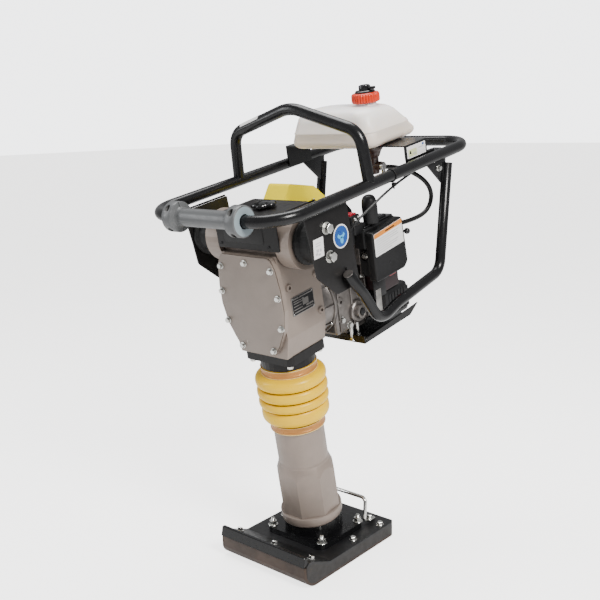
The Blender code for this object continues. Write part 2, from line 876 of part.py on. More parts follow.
def make_engine_side():
    turned(
        "oil_filler_plug",
        ALUMINIUM,
        [
            (0.0, 0.0925),
            (0.0075, 0.0925),
            (0.0085, 0.0900),
            (0.0150, 0.0900),
            (0.0170, 0.0880),
            (0.0170, 0.0725),
            (0.0, 0.0725),
        ],
        (0, 0.184, 0.562),
        MACHINE,
        ALONG_X,
        20,
    )
    carburettor = span(
        "carburettor", ALUMINIUM, (0.0565, 0.196, 0.6735), (0.0945, 0.2355, 0.726), MACHINE, 0.004
    )
    bowl = cylinder("float_bowl", None, 0.0100, 0.036, (0.0838, 0.2165, 0.664), MACHINE, sides=16)
    joined(carburettor, bowl)

    case = span(
        "air_cleaner_case", BLACK_PLASTIC, (0.0950, 0.176, 0.650), (0.1290, 0.300, 0.770), MACHINE, 0.006
    )
    recess = span("case_recess", None, (0.080, 0.160, 0.640), (0.135, 0.192, 0.722), MACHINE)
    cut(case, recess)
    cover_outline = rounded_outline(
        [(0.1755, 0.643), (0.290, 0.643), (0.306, 0.656), (0.2985, 0.770), (0.1755, 0.761)],
        [0.006, 0.010, 0.010, 0.008, 0.006],
        3,
    )
    cover = as_mesh(
        sheet("air_cleaner_cover", BLACK_PLASTIC, cover_outline, 0.0215, (0.1401, 0, 0), MACHINE, FACING_X)
    )
    round_edges(cover, 0.003, 1)
    turned(
        "breather_dome",
        BLACK_PLASTIC,
        [
            (0.0, 0.8405),
            (0.009, 0.838),
            (0.0155, 0.829),
            (0.0180, 0.814),
            (0.0180, 0.7780),
            (0.0155, 0.7735),
            (0.0, 0.7735),
        ],
        (0.125, 0.2115, 0.0),
        MACHINE,
        steps=20,
    )

    pivot = empty("choke_axis", (0.1120, 0.3080, 0.700), UPRIGHT, MACHINE)
    lever = block("choke_lever", STEEL, (0.006, 0.006, 0.036), (0, 0, 0.012), pivot)
    hub = cylinder("choke_hub", None, 0.0075, 0.0115, (0, -0.0015, 0), pivot, ALONG_Y, 16)
    arm = block("choke_arm", None, (0.042, 0.005, 0.005), (0.018, 0, 0.0275), pivot)
    ball = cylinder("choke_ball", None, 0.0075, 0.014, (0.040, 0.0022, 0.0275), pivot, ALONG_X, 14)
    round_edges(ball, 0.003, 2)
    joined(lever, hub, arm, ball)

    muffler = span(
        "muffler", STEEL, (-0.134, 0.122, 0.690), (-0.0640, 0.232, 0.800), MACHINE, 0.018, 3
    )
    port = cylinder("exhaust_port", None, 0.013, 0.016, (-0.0640, 0.172, 0.735), MACHINE, ALONG_X, 16)
    port_trim = span("port_trim", None, (-0.0562, 0.1, 0.7), (0.0, 0.3, 0.8), MACHINE)
    cut(port, port_trim)
    joined(muffler, port)
    guard_outline = rounded_outline(
        [(0.112, 0.829), (0.152, 0.876), (0.236, 0.850), (0.276, 0.812), (0.276, 0.806), (0.112, 0.806)],
        [0.004, 0.010, 0.010, 0.006, 0.002, 0.002],
        3,
    )
    guard = as_mesh(
        sheet("muffler_guard", YELLOW_PAINT, guard_outline, 0.066, (-0.0860, 0, 0), MACHINE, FACING_X)
    )
    room_outline = [
        (0.122, 0.800),
        (0.122, 0.826),
        (0.154, 0.868),
        (0.233, 0.843),
        (0.266, 0.810),
        (0.266, 0.800),
    ]
    room = as_mesh(sheet("guard_room", None, room_outline, 0.061, (-0.0860, 0, 0), MACHINE, FACING_X))
    cut(guard, room)

    tray_floor = span(
        "engine_tray", BLACK_PAINT, (-0.112, 0.150, 0.4950), (0.112, 0.345, 0.4985), MACHINE
    )
    for side in (-1, 1):
        wall = as_mesh(
            sheet(
                f"tray_wall_{side}",
                None,
                [(0.150, 0.495), (0.345, 0.495), (0.382, 0.515), (0.165, 0.5065)],
                0.0035,
                (side * 0.1105, 0, 0),
                MACHINE,
                FACING_X,
            )
        )
        joined(tray_floor, wall)
    front_lip = span("tray_lip", None, (-0.112, 0.150, 0.495), (0.112, 0.1535, 0.5130), MACHINE)
    seat = span("tray_seat", None, (-0.055, 0.160, 0.4975), (0.055, 0.220, 0.5142), MACHINE)
    joined(tray_floor, front_lip, seat)


def make_case_fittings():
    panel_outline = rounded_outline(
        [(-0.0835, 0.7915), (0.0835, 0.7915), (0.0835, LID_HEIGHT), (-0.0835, LID_HEIGHT)], 0.004, 2
    )
    panel = as_mesh(
        sheet("top_cover", BLACK_PLASTIC, panel_outline, 0.0110, (0, -0.0660, 0), MACHINE, FACING_Y)
    )
    joined(panel, span("top_lid", None, (-0.081, -0.068, 0.862 + GAP), (0.081, 0.056, LID_HEIGHT), MACHINE))
    knob = turned(
        "top_knob",
        BLACK_PLASTIC,
        [(0.0, 0.0170), (0.025, 0.0160), (0.0310, 0.011), (0.0290, 0.0045), (0.014, 0.0), (0.0, 0.0)],
        (KNOB_AT[0], KNOB_AT[1], LID_HEIGHT + GAP),
        MACHINE,
        steps=20,
    )
    for notch in range(5):
        angle = 2 * math.pi * notch / 5
        place = (KNOB_AT[0] + 0.0355 * math.cos(angle), KNOB_AT[1] + 0.0355 * math.sin(angle), 0.874)
        cut(knob, cylinder(f"knob_notch_{notch}", None, 0.0090, 0.05, place, MACHINE, sides=10))

    for side, word in ((-1, "left"), (1, "right")):
        turned(
            f"rubber_mount_{word}",
            BLACK_RUBBER,
            [
                (0.0, 0.0257),
                (0.048, 0.0257),
                (0.0500, 0.0237),
                (0.0500, 0.0180),
                (0.0440, 0.0120),
                (0.0440, -0.0120),
                (0.0500, -0.0180),
                (0.0500, -0.0237),
                (0.048, -0.0257),
                (0.0, -0.0257),
            ],
            (side * 0.1493, MOUNT_DEPTH, MOUNT_HEIGHT),
            MACHINE,
            ALONG_X,
            24,
        )


# ---------------------------------------------------------------- the handle frame


def make_frame():
    loop_corners = [
        (-RAIL_X, RAIL_FRONT, 0.0),
        (RAIL_X, RAIL_FRONT, 0.0),
        (RAIL_X, RAIL_REAR, 0.0),
        (-RAIL_X, RAIL_REAR, 0.0),
    ]
    loop = filleted(loop_corners, 0.078, 6, closed=True)
    tube("main_loop", BLACK_PAINT, loop, TUBE, (0, 0, RAIL_HEIGHT), MACHINE, closed=True)

    foot = RAIL_HEIGHT + TUBE + GAP
    hoop = filleted(
        [
            (-RAIL_X, 0.130, foot),
            (-0.184, 0.130, 1.000),
            (0.0, 0.130, 1.056),
            (0.184, 0.130, 1.000),
            (RAIL_X, 0.130, foot),
        ],
        [0, 0.045, 0.10, 0.045, 0],
        6,
    )
    tube("lifting_hoop", BLACK_PAINT, hoop, TUBE, (0, 0, 0), MACHINE)

    plate_corners = [
        (-0.076, 0.866),
        (-0.066, 0.790),
        (-0.061, 0.737),
        (-0.005, 0.683),
        (0.066, 0.683),
        (0.073, 0.703),
        (0.065, 0.833),
        (0.063, 0.866),
    ]
    plate_outline = rounded_outline(plate_corners, [0.002, 0.01, 0.01, 0.012, 0.01, 0.01, 0.01, 0.002], 2)
    guard_x = PLATE_OUTER_X + GUARD_TUBE + GAP
    guard_path = filleted(
        [
            (0.0, 0.448, 0.8600),
            (0.0, 0.372, 0.612),
            (0.0, 0.186, 0.596),
            (0.0, 0.112, 0.580),
            (0.0, 0.066, 0.660),
            (0.0, 0.022, 0.722),
        ],
        [0, 0.040, 0.05, 0.045, 0.10, 0],
        4,
    )
    for side, word in ((-1, "left"), (1, "right")):
        sheet(
            f"side_plate_{word}",
            BLACK_PAINT,
            plate_outline,
            PLATE_THICKNESS,
            (side * (PLATE_OUTER_X - PLATE_THICKNESS / 2), 0, 0),
            MACHINE,
            FACING_X,
        )
        guard = as_mesh(
            tube(
                f"guard_tube_{word}", BLACK_PAINT, guard_path, GUARD_TUBE, (side * guard_x, 0, 0), MACHINE
            )
        )
        notch_at = (side * RAIL_X, 0.45, RAIL_HEIGHT)
        rail_notch = cylinder(
            f"rail_notch_{word}", None, TUBE + GAP, 0.3, notch_at, MACHINE, ALONG_Y, 24
        )
        gusset_outline = [(0.362, 0.8722), (0.450, 0.8722), (0.437, 0.815), (0.425, 0.812)]
        gusset_at = (side * (RAIL_X - 0.006), 0, 0)
        gusset = as_mesh(
            sheet(f"gusset_{word}", None, gusset_outline, 0.004, gusset_at, MACHINE, FACING_X)
        )
        joined(guard, gusset)
        cut(guard, rail_notch)


def make_tank_bracket():
    leg_outer = PLATE_OUTER_X
    leg_outline = [(0.300, 0.8790), (0.386, 0.8790), (0.386, 0.9330), (0.296, 0.9330), (0.296, 0.905)]
    shelf = span(
        "tank_bracket", BLACK_PAINT, (-leg_outer, 0.296, 0.9300), (leg_outer, 0.386, 0.9330), MACHINE
    )
    for side in (-1, 1):
        leg = as_mesh(
            sheet(
                f"bracket_leg_{side}",
                None,
                leg_outline,
                0.003,
                (side * (leg_outer - 0.0015), 0, 0),
                MACHINE,
                FACING_X,
            )
        )
        joined(shelf, leg)
    outlet = cylinder("outlet_hole", None, 0.0265, 0.03, (0.058, 0.340, 0.931), MACHINE, sides=20)
    cut(shelf, outlet)


def make_tank():
    low = 0.9333
    mesh = bpy.data.meshes.new("fuel_tank")
    shape = bmesh.new()
    bmesh.ops.create_cube(shape, size=1.0)
    for corner in shape.verts:
        top = corner.co.z > 0
        across = 0.102 if top else 0.124
        front, rear = (0.262, 0.386) if top else (0.250, 0.442)
        height = 1.026 if top and corner.co.y < 0 else 1.017 if top else low
        corner.co = (math.copysign(across, corner.co.x), rear if corner.co.y > 0 else front, height)
    shape.to_mesh(mesh)
    shape.free()
    tank = add("fuel_tank", mesh, TANK_PLASTIC, (0, 0, 0), UPRIGHT, MACHINE)
    round_edges(tank, 0.020, 4)
    neck_at = (0.055, 0.338)
    neck = cylinder("tank_neck", None, 0.0230, 0.030, (*neck_at, 1.012), MACHINE, sides=24)
    joined(tank, neck)

    turned(
        "fuel_cap",
        ORANGE_PLASTIC,
        [
            (0.0, 1.0502),
            (0.0270, 1.0502),
            (0.0325, 1.0472),
            (0.0335, 1.0312),
            (0.0315, 1.0275),
            (0.0, 1.0275),
        ],
        (*neck_at, 0.0),
        MACHINE,
        steps=24,
    )
    vent = turned(
        "cap_vent",
        BLACK_PLASTIC,
        [
            (0.0, 1.0682),
            (0.0110, 1.0682),
            (0.0130, 1.0662),
            (0.0130, 1.0567),
            (0.0225, 1.0552),
            (0.0235, 1.0507),
            (0.0, 1.0507),
        ],
        (*neck_at, 0.0),
        MACHINE,
        steps=20,
    )
    tab = span("vent_tab", None, (neck_at[0], 0.333, 1.0572), (neck_at[0] + 0.030, 0.343, 1.0642), MACHINE)
    joined(vent, tab)


def make_fuel_line():
    tap_at = (0.058, 0.340)
    tap = turned(
        "fuel_tap",
        BROWN_PLASTIC,
        [
            (0.0, 0.9328),
            (0.0240, 0.9328),
            (0.0240, 0.9160),
            (0.0110, 0.8950),
            (0.0100, 0.8560),
            (0.0, 0.8560),
        ],
        (*tap_at, 0.0),
        MACHINE,
        steps=20,
    )
    boss_at = (tap_at[0] + 0.012, 0.340, 0.8760)
    side_boss = cylinder("tap_boss", None, 0.0105, 0.016, boss_at, MACHINE, ALONG_X, 16)
    outlet_at = (tap_at[0], 0.356, 0.8640)
    outlet = cylinder("tap_outlet", None, 0.0035, 0.022, outlet_at, MACHINE, ALONG_Y, 12)
    joined(tap, side_boss, outlet)

    pivot = empty("tap_axis", (tap_at[0] + 0.0203, 0.340, 0.8760), UPRIGHT, MACHINE)
    lever = cylinder("fuel_tap_lever", ORANGE_PLASTIC, 0.0095, 0.007, (0.0035, 0, 0), pivot, ALONG_X, 16)
    handle = block("tap_handle", None, (0.006, 0.008, 0.026), (0.004, 0, -0.014), pivot)
    joined(lever, handle)

    hose_corners = [
        (0.058, 0.3690, 0.8640),
        (0.059, 0.3780, 0.8640),
        (0.078, 0.404, 0.8580),
        (0.110, 0.424, 0.842),
        (0.130, 0.446, 0.812),
        (0.132, 0.455, 0.778),
        (0.128, 0.430, 0.752),
        (0.112, 0.375, 0.744),
        (0.096, 0.320, 0.746),
        (0.083, 0.268, 0.748),
        (0.0765, 0.232, 0.746),
        (0.0765, 0.2170, 0.736),
        (0.0765, 0.2165, 0.7266),
    ]
    tube("fuel_hose", BLACK_RUBBER, smooth_path(hose_corners, 3), 0.0045, (0, 0, 0), MACHINE)


def smooth_path(points, steps):
    """A smooth curve through the points, with a few steps between each two."""
    points = [Vector(point) for point in points]
    ends = [2 * points[0] - points[1], *points, 2 * points[-1] - points[-2]]
    headings = [(after - before).normalized() for before, after in zip(ends, ends[2:])]
    path = [points[0]]
    for i in range(len(points) - 1):
        here, there = points[i : i + 2]
        chord = (there - here).length
        leaving = headings[i] * chord
        arriving = headings[i + 1] * chord
        for step in range(1, steps + 1):
            t = step / steps
            ease = t * t * (3 - 2 * t)
            bend = leaving * t * (1 - t) ** 2 - arriving * t * t * (1 - t)
            path.append(here.lerp(there, ease) + bend)
    return path


def make_throttle():
    pivot_at = (0.166, 0.405, 0.888)
    span(
        "throttle_bracket", BLACK_PAINT, (0.1695, 0.392, 0.874), (0.1793, 0.418, 0.902), MACHINE, 0.002, 1
    )
    pivot = empty("throttle_axis", pivot_at, UPRIGHT, MACHINE)
    lever = cylinder("throttle_lever", BLACK_PLASTIC, 0.0110, 0.006, (0, 0, 0), pivot, ALONG_X, 16)
    arm = block("throttle_arm", None, (0.005, 0.052, 0.009), (0, 0.028, 0), pivot)
    grip = cylinder("throttle_grip", None, 0.0065, 0.020, (-0.005, 0.053, 0), pivot, ALONG_X, 12)
    joined(lever, arm, grip)

    cable_corners = [
        (0.1735, 0.3905, 0.880),
        (0.1725, 0.3780, 0.877),
        (0.1715, 0.330, 0.866),
        (0.1730, 0.262, 0.856),
        (0.1700, 0.222, 0.846),
        (0.1560, 0.172, 0.822),
        (0.1450, 0.135, 0.802),
        (0.1340, 0.118, 0.785),
        (0.1120, 0.116, 0.765),
    ]
    tube("throttle_cable", BLACK_RUBBER, smooth_path(cable_corners, 3), 0.0028, (0, 0, 0), MACHINE)


def make_roller():
    """A grey roller in two clamped halves turns on the front tube."""
    axis = empty("roller_axis", (0, RAIL_FRONT, RAIL_HEIGHT), UPRIGHT, MACHINE)
    profile = [
        (0.0190, 0.0780),
        (0.0190, -0.0780),
        (0.0310, -0.0785),
        (0.0325, -0.0800),
        (0.0325, -0.1040),
        (0.0305, -0.1060),
        (TUBE + 0.0007, -0.1060),
        (TUBE + 0.0007, 0.1060),
        (0.0305, 0.1060),
        (0.0325, 0.1040),
        (0.0325, 0.0800),
        (0.0310, 0.0785),
    ]
    for word, side in (("front", -1), ("rear", 1)):
        half = turned(f"roller_half_{word}", ROLLER_PLASTIC, profile, (0, 0, 0), axis, ALONG_X, 24, ring=True)
        other = block(
            f"roller_split_{word}", None, (0.3, 0.1, 0.1), (0, -side * (0.05 - GAP / 2), 0), axis
        )
        cut(half, other)


def build():
    make_shoe()
    make_leg_base()
    make_foot_handle()
    make_spring_cylinder()
    make_spring("lower_spring", 0.1015, 0.2550)
    make_spring("upper_spring", 0.2750, 0.3710)
    make_boot()
    make_guide()
    make_crankcase()
    make_front_cover()
    make_crank_gear()
    make_connecting_rod()
    make_ram_piston()
    make_clutch()
    make_engine()
    make_engine_side()
    make_case_fittings()
    make_frame()
    make_tank_bracket()
    make_tank()
    make_fuel_line()
    make_throttle()
    make_roller()


build()
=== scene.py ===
"""The looks of the tamping rammer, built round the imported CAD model.

Lengths are in metres. Places on the machine are given in the leaning frame: x across, v to the
rear and u up along the leg. The matrix LEG turns them into the frame of the model.
"""

import math

import bmesh
import bpy
from mathutils import Matrix, Vector


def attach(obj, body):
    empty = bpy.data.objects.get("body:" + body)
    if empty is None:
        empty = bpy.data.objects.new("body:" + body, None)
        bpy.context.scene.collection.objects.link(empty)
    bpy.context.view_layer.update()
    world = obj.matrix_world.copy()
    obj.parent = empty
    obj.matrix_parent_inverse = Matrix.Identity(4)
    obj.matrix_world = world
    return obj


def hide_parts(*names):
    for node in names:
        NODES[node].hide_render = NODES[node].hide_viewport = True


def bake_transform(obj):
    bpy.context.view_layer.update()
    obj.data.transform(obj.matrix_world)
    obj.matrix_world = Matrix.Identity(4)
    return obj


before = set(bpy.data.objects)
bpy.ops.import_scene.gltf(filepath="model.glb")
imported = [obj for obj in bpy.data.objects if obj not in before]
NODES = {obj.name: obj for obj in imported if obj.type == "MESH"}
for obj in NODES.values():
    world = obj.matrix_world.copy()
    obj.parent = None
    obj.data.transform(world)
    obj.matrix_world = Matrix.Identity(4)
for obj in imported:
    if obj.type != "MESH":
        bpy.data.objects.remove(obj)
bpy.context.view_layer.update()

LEAN = math.radians(10.3)
LEG = Matrix.Translation((0, 0.0121, 0)) @ Matrix.Rotation(LEAN, 4, "X")
FLAT = Matrix.Identity(4)
TUBE = 0.0133
GUARD_TUBE = 0.0125
RAIL_X = 0.193
RAIL_HEIGHT = 0.886
PLATE_X = 0.1793
ENGINE_HEIGHT = 0.6102
AXIS = 0.0001  # the radius that stands for a lathe's axis
OCTAGON_MARK = math.radians(22)
HOOP_V = 0.13
ROLLER_V = -0.168
CAP_X, CAP_V = (0.055, 0.338)
RIGHT, FRONT, REAR, UP = ((1, 0, 0), (0, -1, 0), (0, 1, 0), (0, 0, 1))
PLUG_V, PLUG_U = (0.184, 0.562)
HOOD_TOP = 0.8657
KNOB_X, KNOB_V = (0.01, -0.008)
OCTAGON = 0.0675


# ---------------------------------------------------------------- materials


class Nodes:
    """A material's node tree with one Principled shader."""

    def __init__(self, name):
        self.material = bpy.data.materials.new(name)
        self.material.use_nodes = True
        self.tree = self.material.node_tree
        self.shader = self.tree.nodes["Principled BSDF"]
        where = self.tree.nodes.new("ShaderNodeTexCoord")
        self.place = where.outputs["Object"]

    def node(self, kind, inputs=None, **settings):
        made = self.tree.nodes.new(kind)
        for key, value in settings.items():
            setattr(made, key, value)
        for key, value in (inputs or {}).items():
            made.inputs[key].default_value = value
        return made

    def link(self, source, target):
        self.tree.links.new(source, target)

    def noise(self, scale, detail=3.0, roughness=0.55, stretch=None):
        made = self.node("ShaderNodeTexNoise", {"Scale": scale, "Detail": detail, "Roughness": roughness})
        self.link(self.mapped(Scale=stretch) if stretch else self.place, made.inputs["Vector"])
        return made.outputs["Fac"]

    def mapped(self, **values):
        mapping = self.node("ShaderNodeMapping", values)
        self.link(self.place, mapping.inputs["Vector"])
        return mapping.outputs["Vector"]

    def hollows(self, distance, samples, low, high, start, end):
        """How much a place lies in a corner, from ambient occlusion; it is used to paint shade into colours.
        """
        made = self.node("ShaderNodeAmbientOcclusion", {"Distance": distance}, samples=samples)
        return self.ranged(made.outputs["AO"], low, high, start, end)

    def ranged(self, source, low, high, start=0.3, end=0.7):
        made = self.node("ShaderNodeMapRange", {"From Min": start, "From Max": end, "To Min": low,
            "To Max": high})
        self.link(source, made.inputs["Value"])
        return made.outputs["Result"]

    def mixed(self, factor, first, second):
        """A colour between two, each a triple or a socket."""
        made = self.node("ShaderNodeMix", data_type="RGBA")
        self.link(factor, made.inputs[0])
        for socket, value in ((made.inputs[6], first), (made.inputs[7], second)):
            if isinstance(value, (tuple, list)):
                socket.default_value = (*value, 1.0)
            else:
                self.link(value, socket)
        return made.outputs[2]

    def bump(self, source, strength, distance=0.001, under=None):
        made = self.node("ShaderNodeBump", {"Strength": strength, "Distance": distance})
        self.link(source, made.inputs["Height"])
        if under is not None:
            self.link(under, made.inputs["Normal"])
        return made.outputs["Normal"]

    def set(self, name, value):
        if isinstance(value, (int, float, tuple)):
            self.shader.inputs[name].default_value = value
        else:
            self.link(value, self.shader.inputs[name])


def shade(colour, factor):
    return tuple((min(1.0, channel * factor) for channel in colour))


def surface(
    name,
    colour,
    roughness,
    metallic,
    grain,
    relief,
    mottle=0.1,
    mottle_scale=18.0,
    corner_shade=0.0,
    corner_shade_colour=(0.05, 0.035, 0.025),
    wavy=0.0,
    gloss=0.5,
):
    """A finish with blotchy colour, uneven gloss and a fine grain, and painted shade that darkens its
    corners.
    """
    made = Nodes(name)
    blotch = made.noise(mottle_scale, 5.0)
    paint = made.mixed(made.ranged(blotch, 0.0, 1.0), shade(colour, 1 - mottle), shade(colour, 1 + mottle))
    # painted shade: the colour darkens where ambient occlusion finds corners and creases
    if corner_shade:
        paint = made.mixed(made.hollows(0.012, 6, corner_shade, 0.0, 0.35, 0.85), paint, corner_shade_colour)
    made.set("Base Color", paint)
    rub = made.noise(mottle_scale * 5, 4.0)
    made.set("Roughness", made.ranged(rub, roughness - 0.06, roughness + 0.06))
    made.set("Metallic", metallic)
    made.set("Specular IOR Level", gloss)
    normal = made.bump(made.noise(grain, 2.0), relief, 0.0006)
    if wavy:
        normal = made.bump(made.noise(70.0, 2.0), wavy, 0.002, normal)
    made.set("Normal", normal)
    return made.material


# name, colour, roughness, metallic, grain, relief and mottle
POWDER = surface("powder_black", (0.0045, 0.0045, 0.005), 0.24, 0, 900, 0.015, 0.25, gloss=0.32)
PLATE_BLACK = surface("plate_black", (0.006, 0.0054, 0.0054), 0.4, 0, 1100, 0.1, 0.25, gloss=0.25)
CAST = surface("cast_grey", (0.235, 0.19, 0.16), 0.4, 0.25, 620, 0.3, 0.1, mottle_scale=9, corner_shade=0.55,
    wavy=0.1)
COVER_CAST = surface("cover_grey", (0.215, 0.178, 0.152), 0.36, 0.3, 760, 0.22, 0.1, mottle_scale=7,
    corner_shade=0.55, wavy=0.08)
LEG_CAST = surface("leg_grey", (0.255, 0.207, 0.176), 0.38, 0.25, 700, 0.22, 0.12, mottle_scale=10, corner_shade=0.45,
    wavy=0.08)
ALLOY = surface("raw_alloy", (0.175, 0.16, 0.15), 0.38, 0.8, 520, 0.45, 0.28, mottle_scale=45, corner_shade=0.75,
    corner_shade_colour=(0.03, 0.022, 0.018))
ZINC = surface("zinc", (0.66, 0.66, 0.63), 0.24, 1.0, 1600, 0.1, 0.16, mottle_scale=60, corner_shade=0.5)
CHROME = surface("bright_rod", (0.72, 0.71, 0.68), 0.16, 1.0, 1800, 0.05, 0.08, corner_shade=0.4)
STEEL = surface("turned_steel", (0.42, 0.41, 0.4), 0.3, 1.0, 1500, 0.12, 0.12)
PLASTIC = surface("moulded_black", (0.0065, 0.0065, 0.007), 0.42, 0, 1900, 0.12, 0.15, gloss=0.28)
GLOSS_BLACK = surface("gloss_black", (0.004, 0.004, 0.0045), 0.14, 0, 2200, 0.03, 0.1, gloss=0.5)
RUBBER = surface("black_rubber", (0.005, 0.005, 0.005), 0.55, 0, 1300, 0.14, 0.2, gloss=0.25)
HOSE = surface("hose_rubber", (0.004, 0.004, 0.004), 0.34, 0, 1500, 0.08, 0.2, gloss=0.35)
BAND = surface("tan_band", (0.42, 0.175, 0.035), 0.32, 0.35, 1500, 0.14, 0.14, mottle_scale=30)
PALE_EDGE = surface("pale_edge", (0.8, 0.62, 0.24), 0.42, 0, 1500, 0.05, 0.06)
YELLOW = surface("guard_yellow", (0.88, 0.7, 0.0), 0.36, 0, 1200, 0.06, 0.02, gloss=0.25)
RED = surface("fan_red", (0.36, 0.006, 0.02), 0.34, 0, 1500, 0.1, 0.08)
FAN_RED = surface("fan_dark", (0.012, 0.003, 0.004), 0.4, 0, 1500, 0.1, 0.08)
ORANGE = surface("cap_orange", (0.58, 0.026, 0.0), 0.28, 0, 1600, 0.08, 0.08, corner_shade=0.35)
ROLLER_GREY = surface("roller_grey", (0.085, 0.088, 0.09), 0.36, 0, 1700, 0.1, 0.06, corner_shade=0.35)
# painted highlight: a pale bluish colour for the light the roller's end faces catch
ROLLER_END_HIGHLIGHT = surface("roller_end_highlight", (0.19, 0.235, 0.255), 0.4, 0, 1700, 0.08, 0.05)
BROWN = surface("sump_brown", (0.055, 0.03, 0.024), 0.26, 0, 1500, 0.05, 0.12)
GALVANISED = surface("galvanised", (0.34, 0.33, 0.31), 0.35, 0.85, 700, 0.2, 0.3, mottle_scale=70)
PAPER = surface("label_paper", (0.74, 0.73, 0.72), 0.38, 0, 2600, 0.03, 0.03)
INK = surface("label_ink", (0.006, 0.006, 0.007), 0.4, 0, 2600, 0.03, 0.1, gloss=0.2)
GREY_INK = surface("label_grey", (0.42, 0.42, 0.43), 0.4, 0, 2600, 0.03, 0.1)
LABEL_ORANGE = surface("label_orange", (0.62, 0.2, 0.01), 0.38, 0, 2600, 0.03, 0.05)
LABEL_GREEN = surface("label_green", (0.62, 0.66, 0.36), 0.38, 0, 2600, 0.03, 0.2)
STICKER_BLUE = surface("sticker_blue", (0.002, 0.052, 0.24), 0.3, 0, 2600, 0.03, 0.08)
STICKER_LIGHT = surface("sticker_light", (0.06, 0.34, 0.62), 0.3, 0, 2600, 0.03, 0.05)
PLATE_METAL = surface("nameplate", (0.22, 0.21, 0.2), 0.3, 0.9, 2400, 0.05, 0.08)
SOLE = surface("sole_steel", (0.045, 0.028, 0.02), 0.5, 0.3, 500, 0.3, 0.35, corner_shade=0.4)


def boot_material():
    """Glossy yellow rubber with painted shade that darkens it to orange in its creases."""
    made = Nodes("boot_yellow")
    crease_shade = made.hollows(0.01, 8, 1.0, 0.0, 0.15, 0.75)
    blotch = made.ranged(made.noise(16.0, 4.0), 0.0, 1.0)
    paint = made.mixed(blotch, (0.8, 0.47, 0.0), (0.86, 0.54, 0.0))
    # painted shade: the yellow turns orange where ambient occlusion finds the creases
    made.set("Base Color", made.mixed(crease_shade, paint, (0.24, 0.06, 0.0)))
    made.set("Roughness", made.ranged(made.noise(90.0), 0.26, 0.42))
    made.set("Specular IOR Level", 0.32)
    made.set("Normal", made.bump(made.noise(500.0, 2.0), 0.08, 0.0006))
    return made.material


def tank_material():
    """Milky polythene, creamier low down: partly the fuel standing behind it, partly painted shade on the
    lower tank.
    """
    made = Nodes("tank_milky")
    split = made.node("ShaderNodeSeparateXYZ")
    made.link(made.mapped(Rotation=(-LEAN, 0.0, 0.0)), split.inputs["Vector"])
    # painted shade and fuel: the tank turns cream below its top, for the fuel behind it and the shade on its
    # lower faces
    level = made.ranged(split.outputs["Z"], 1.0, 0.0, 0.955, 1.03)
    milky = made.mixed(made.ranged(made.noise(11.0, 4.0), 0.0, 1.0), (0.88, 0.87, 0.85), (0.93, 0.92, 0.91))
    made.set("Base Color", made.mixed(level, milky, (0.72, 0.63, 0.54)))
    made.set("Roughness", made.ranged(made.noise(120.0), 0.3, 0.46))
    made.set("Subsurface Weight", 0.35)
    made.set("Subsurface Radius", (0.03, 0.024, 0.018))
    made.set("Subsurface Scale", 0.6)
    made.set("Normal", made.bump(made.noise(700.0, 2.0), 0.06, 0.0006))
    return made.material


def shoe_material():
    """The top plate is black paint, and the block under it dark brown with a layered grain."""
    made = Nodes("shoe_layers")
    split = made.node("ShaderNodeSeparateXYZ")
    made.link(made.place, split.inputs["Vector"])
    rise = made.node("ShaderNodeMath", {1: -1.0}, operation="MULTIPLY_ADD")
    made.link(made.ranged(split.outputs["Y"], 0.0264, 0.0, -0.165, -0.1), rise.inputs[0])
    made.link(split.outputs["Z"], rise.inputs[2])
    top = made.ranged(rise.outputs["Value"], 0.0, 1.0, 0.029, 0.03)
    grain = made.ranged(made.noise(60.0, 5.0, 0.7, stretch=(1.0, 1.0, 14.0)), 0.0, 1.0)
    block = made.mixed(grain, (0.003, 0.0025, 0.0022), (0.011, 0.0075, 0.006))
    made.set("Base Color", made.mixed(top, block, (0.0055, 0.0055, 0.006)))
    made.set("Roughness", made.ranged(made.noise(80.0, 4.0), 0.34, 0.52))
    made.set("Normal", made.bump(made.noise(900.0, 2.0), 0.16, 0.0006))
    return made.material


BOOT = boot_material()
TANK = tank_material()
SHOE = shoe_material()


def repaint(material, *names):
    """Gives CAD nodes a better material."""
    for name in names:
        materials = NODES[name].data.materials
        if not materials:
            materials.append(material)
        for i in range(len(materials)):
            materials[i] = material


# ---------------------------------------------------------------- mesh helpers


def placed(name, data):
    """A new object in the scene."""
    obj = bpy.data.objects.new(name, data)
    bpy.context.scene.collection.objects.link(obj)
    return obj


def circle(radius, count, start=0.0):
    """Points spaced evenly round a circle."""
    angles = [start + 2 * math.pi * k / count for k in range(count)]
    return [(radius * math.cos(angle), radius * math.sin(angle)) for angle in angles]


def solid(*points):
    """A lathe profile, closed to the axis at both ends."""
    return [(AXIS, points[0][1]), *points, (AXIS, points[-1][1])]


def seat(x, v, u, angle=0.0, axis="X"):
    """A matrix that puts an origin at a place in the leaning frame, turned about one axis."""
    return LEG @ Matrix.Translation((x, v, u)) @ Matrix.Rotation(angle, 4, axis)


def finish_mesh(name, shape, materials, place, sharp=35.0):
    """Makes an object from a bmesh that is in the coordinates of place."""
    bmesh.ops.recalc_face_normals(shape, faces=shape.faces)
    mesh = bpy.data.meshes.new(name)
    shape.to_mesh(mesh)
    shape.free()
    mesh.transform(place)
    for material in materials:
        mesh.materials.append(material)
    mesh.shade_smooth()
    mesh.set_sharp_from_angle(angle=math.radians(sharp))
    return placed(name, mesh)


def add_faces(shape, rings, closed_rings):
    """Joins closed rings of points with quads, and caps the ends unless the rings close on themselves."""
    rows = [[shape.verts.new(point) for point in ring] for ring in rings]
    count = len(rows[0])
    pairs = list(zip(rows, rows[1:]))
    if closed_rings:
        pairs.append((rows[-1], rows[0]))
    for first, second in pairs:
        for i in range(count):
            j = (i + 1) % count
            shape.faces.new((first[i], first[j], second[j], second[i]))
    if not closed_rings:
        shape.faces.new(list(reversed(rows[0])))
        shape.faces.new(rows[-1])


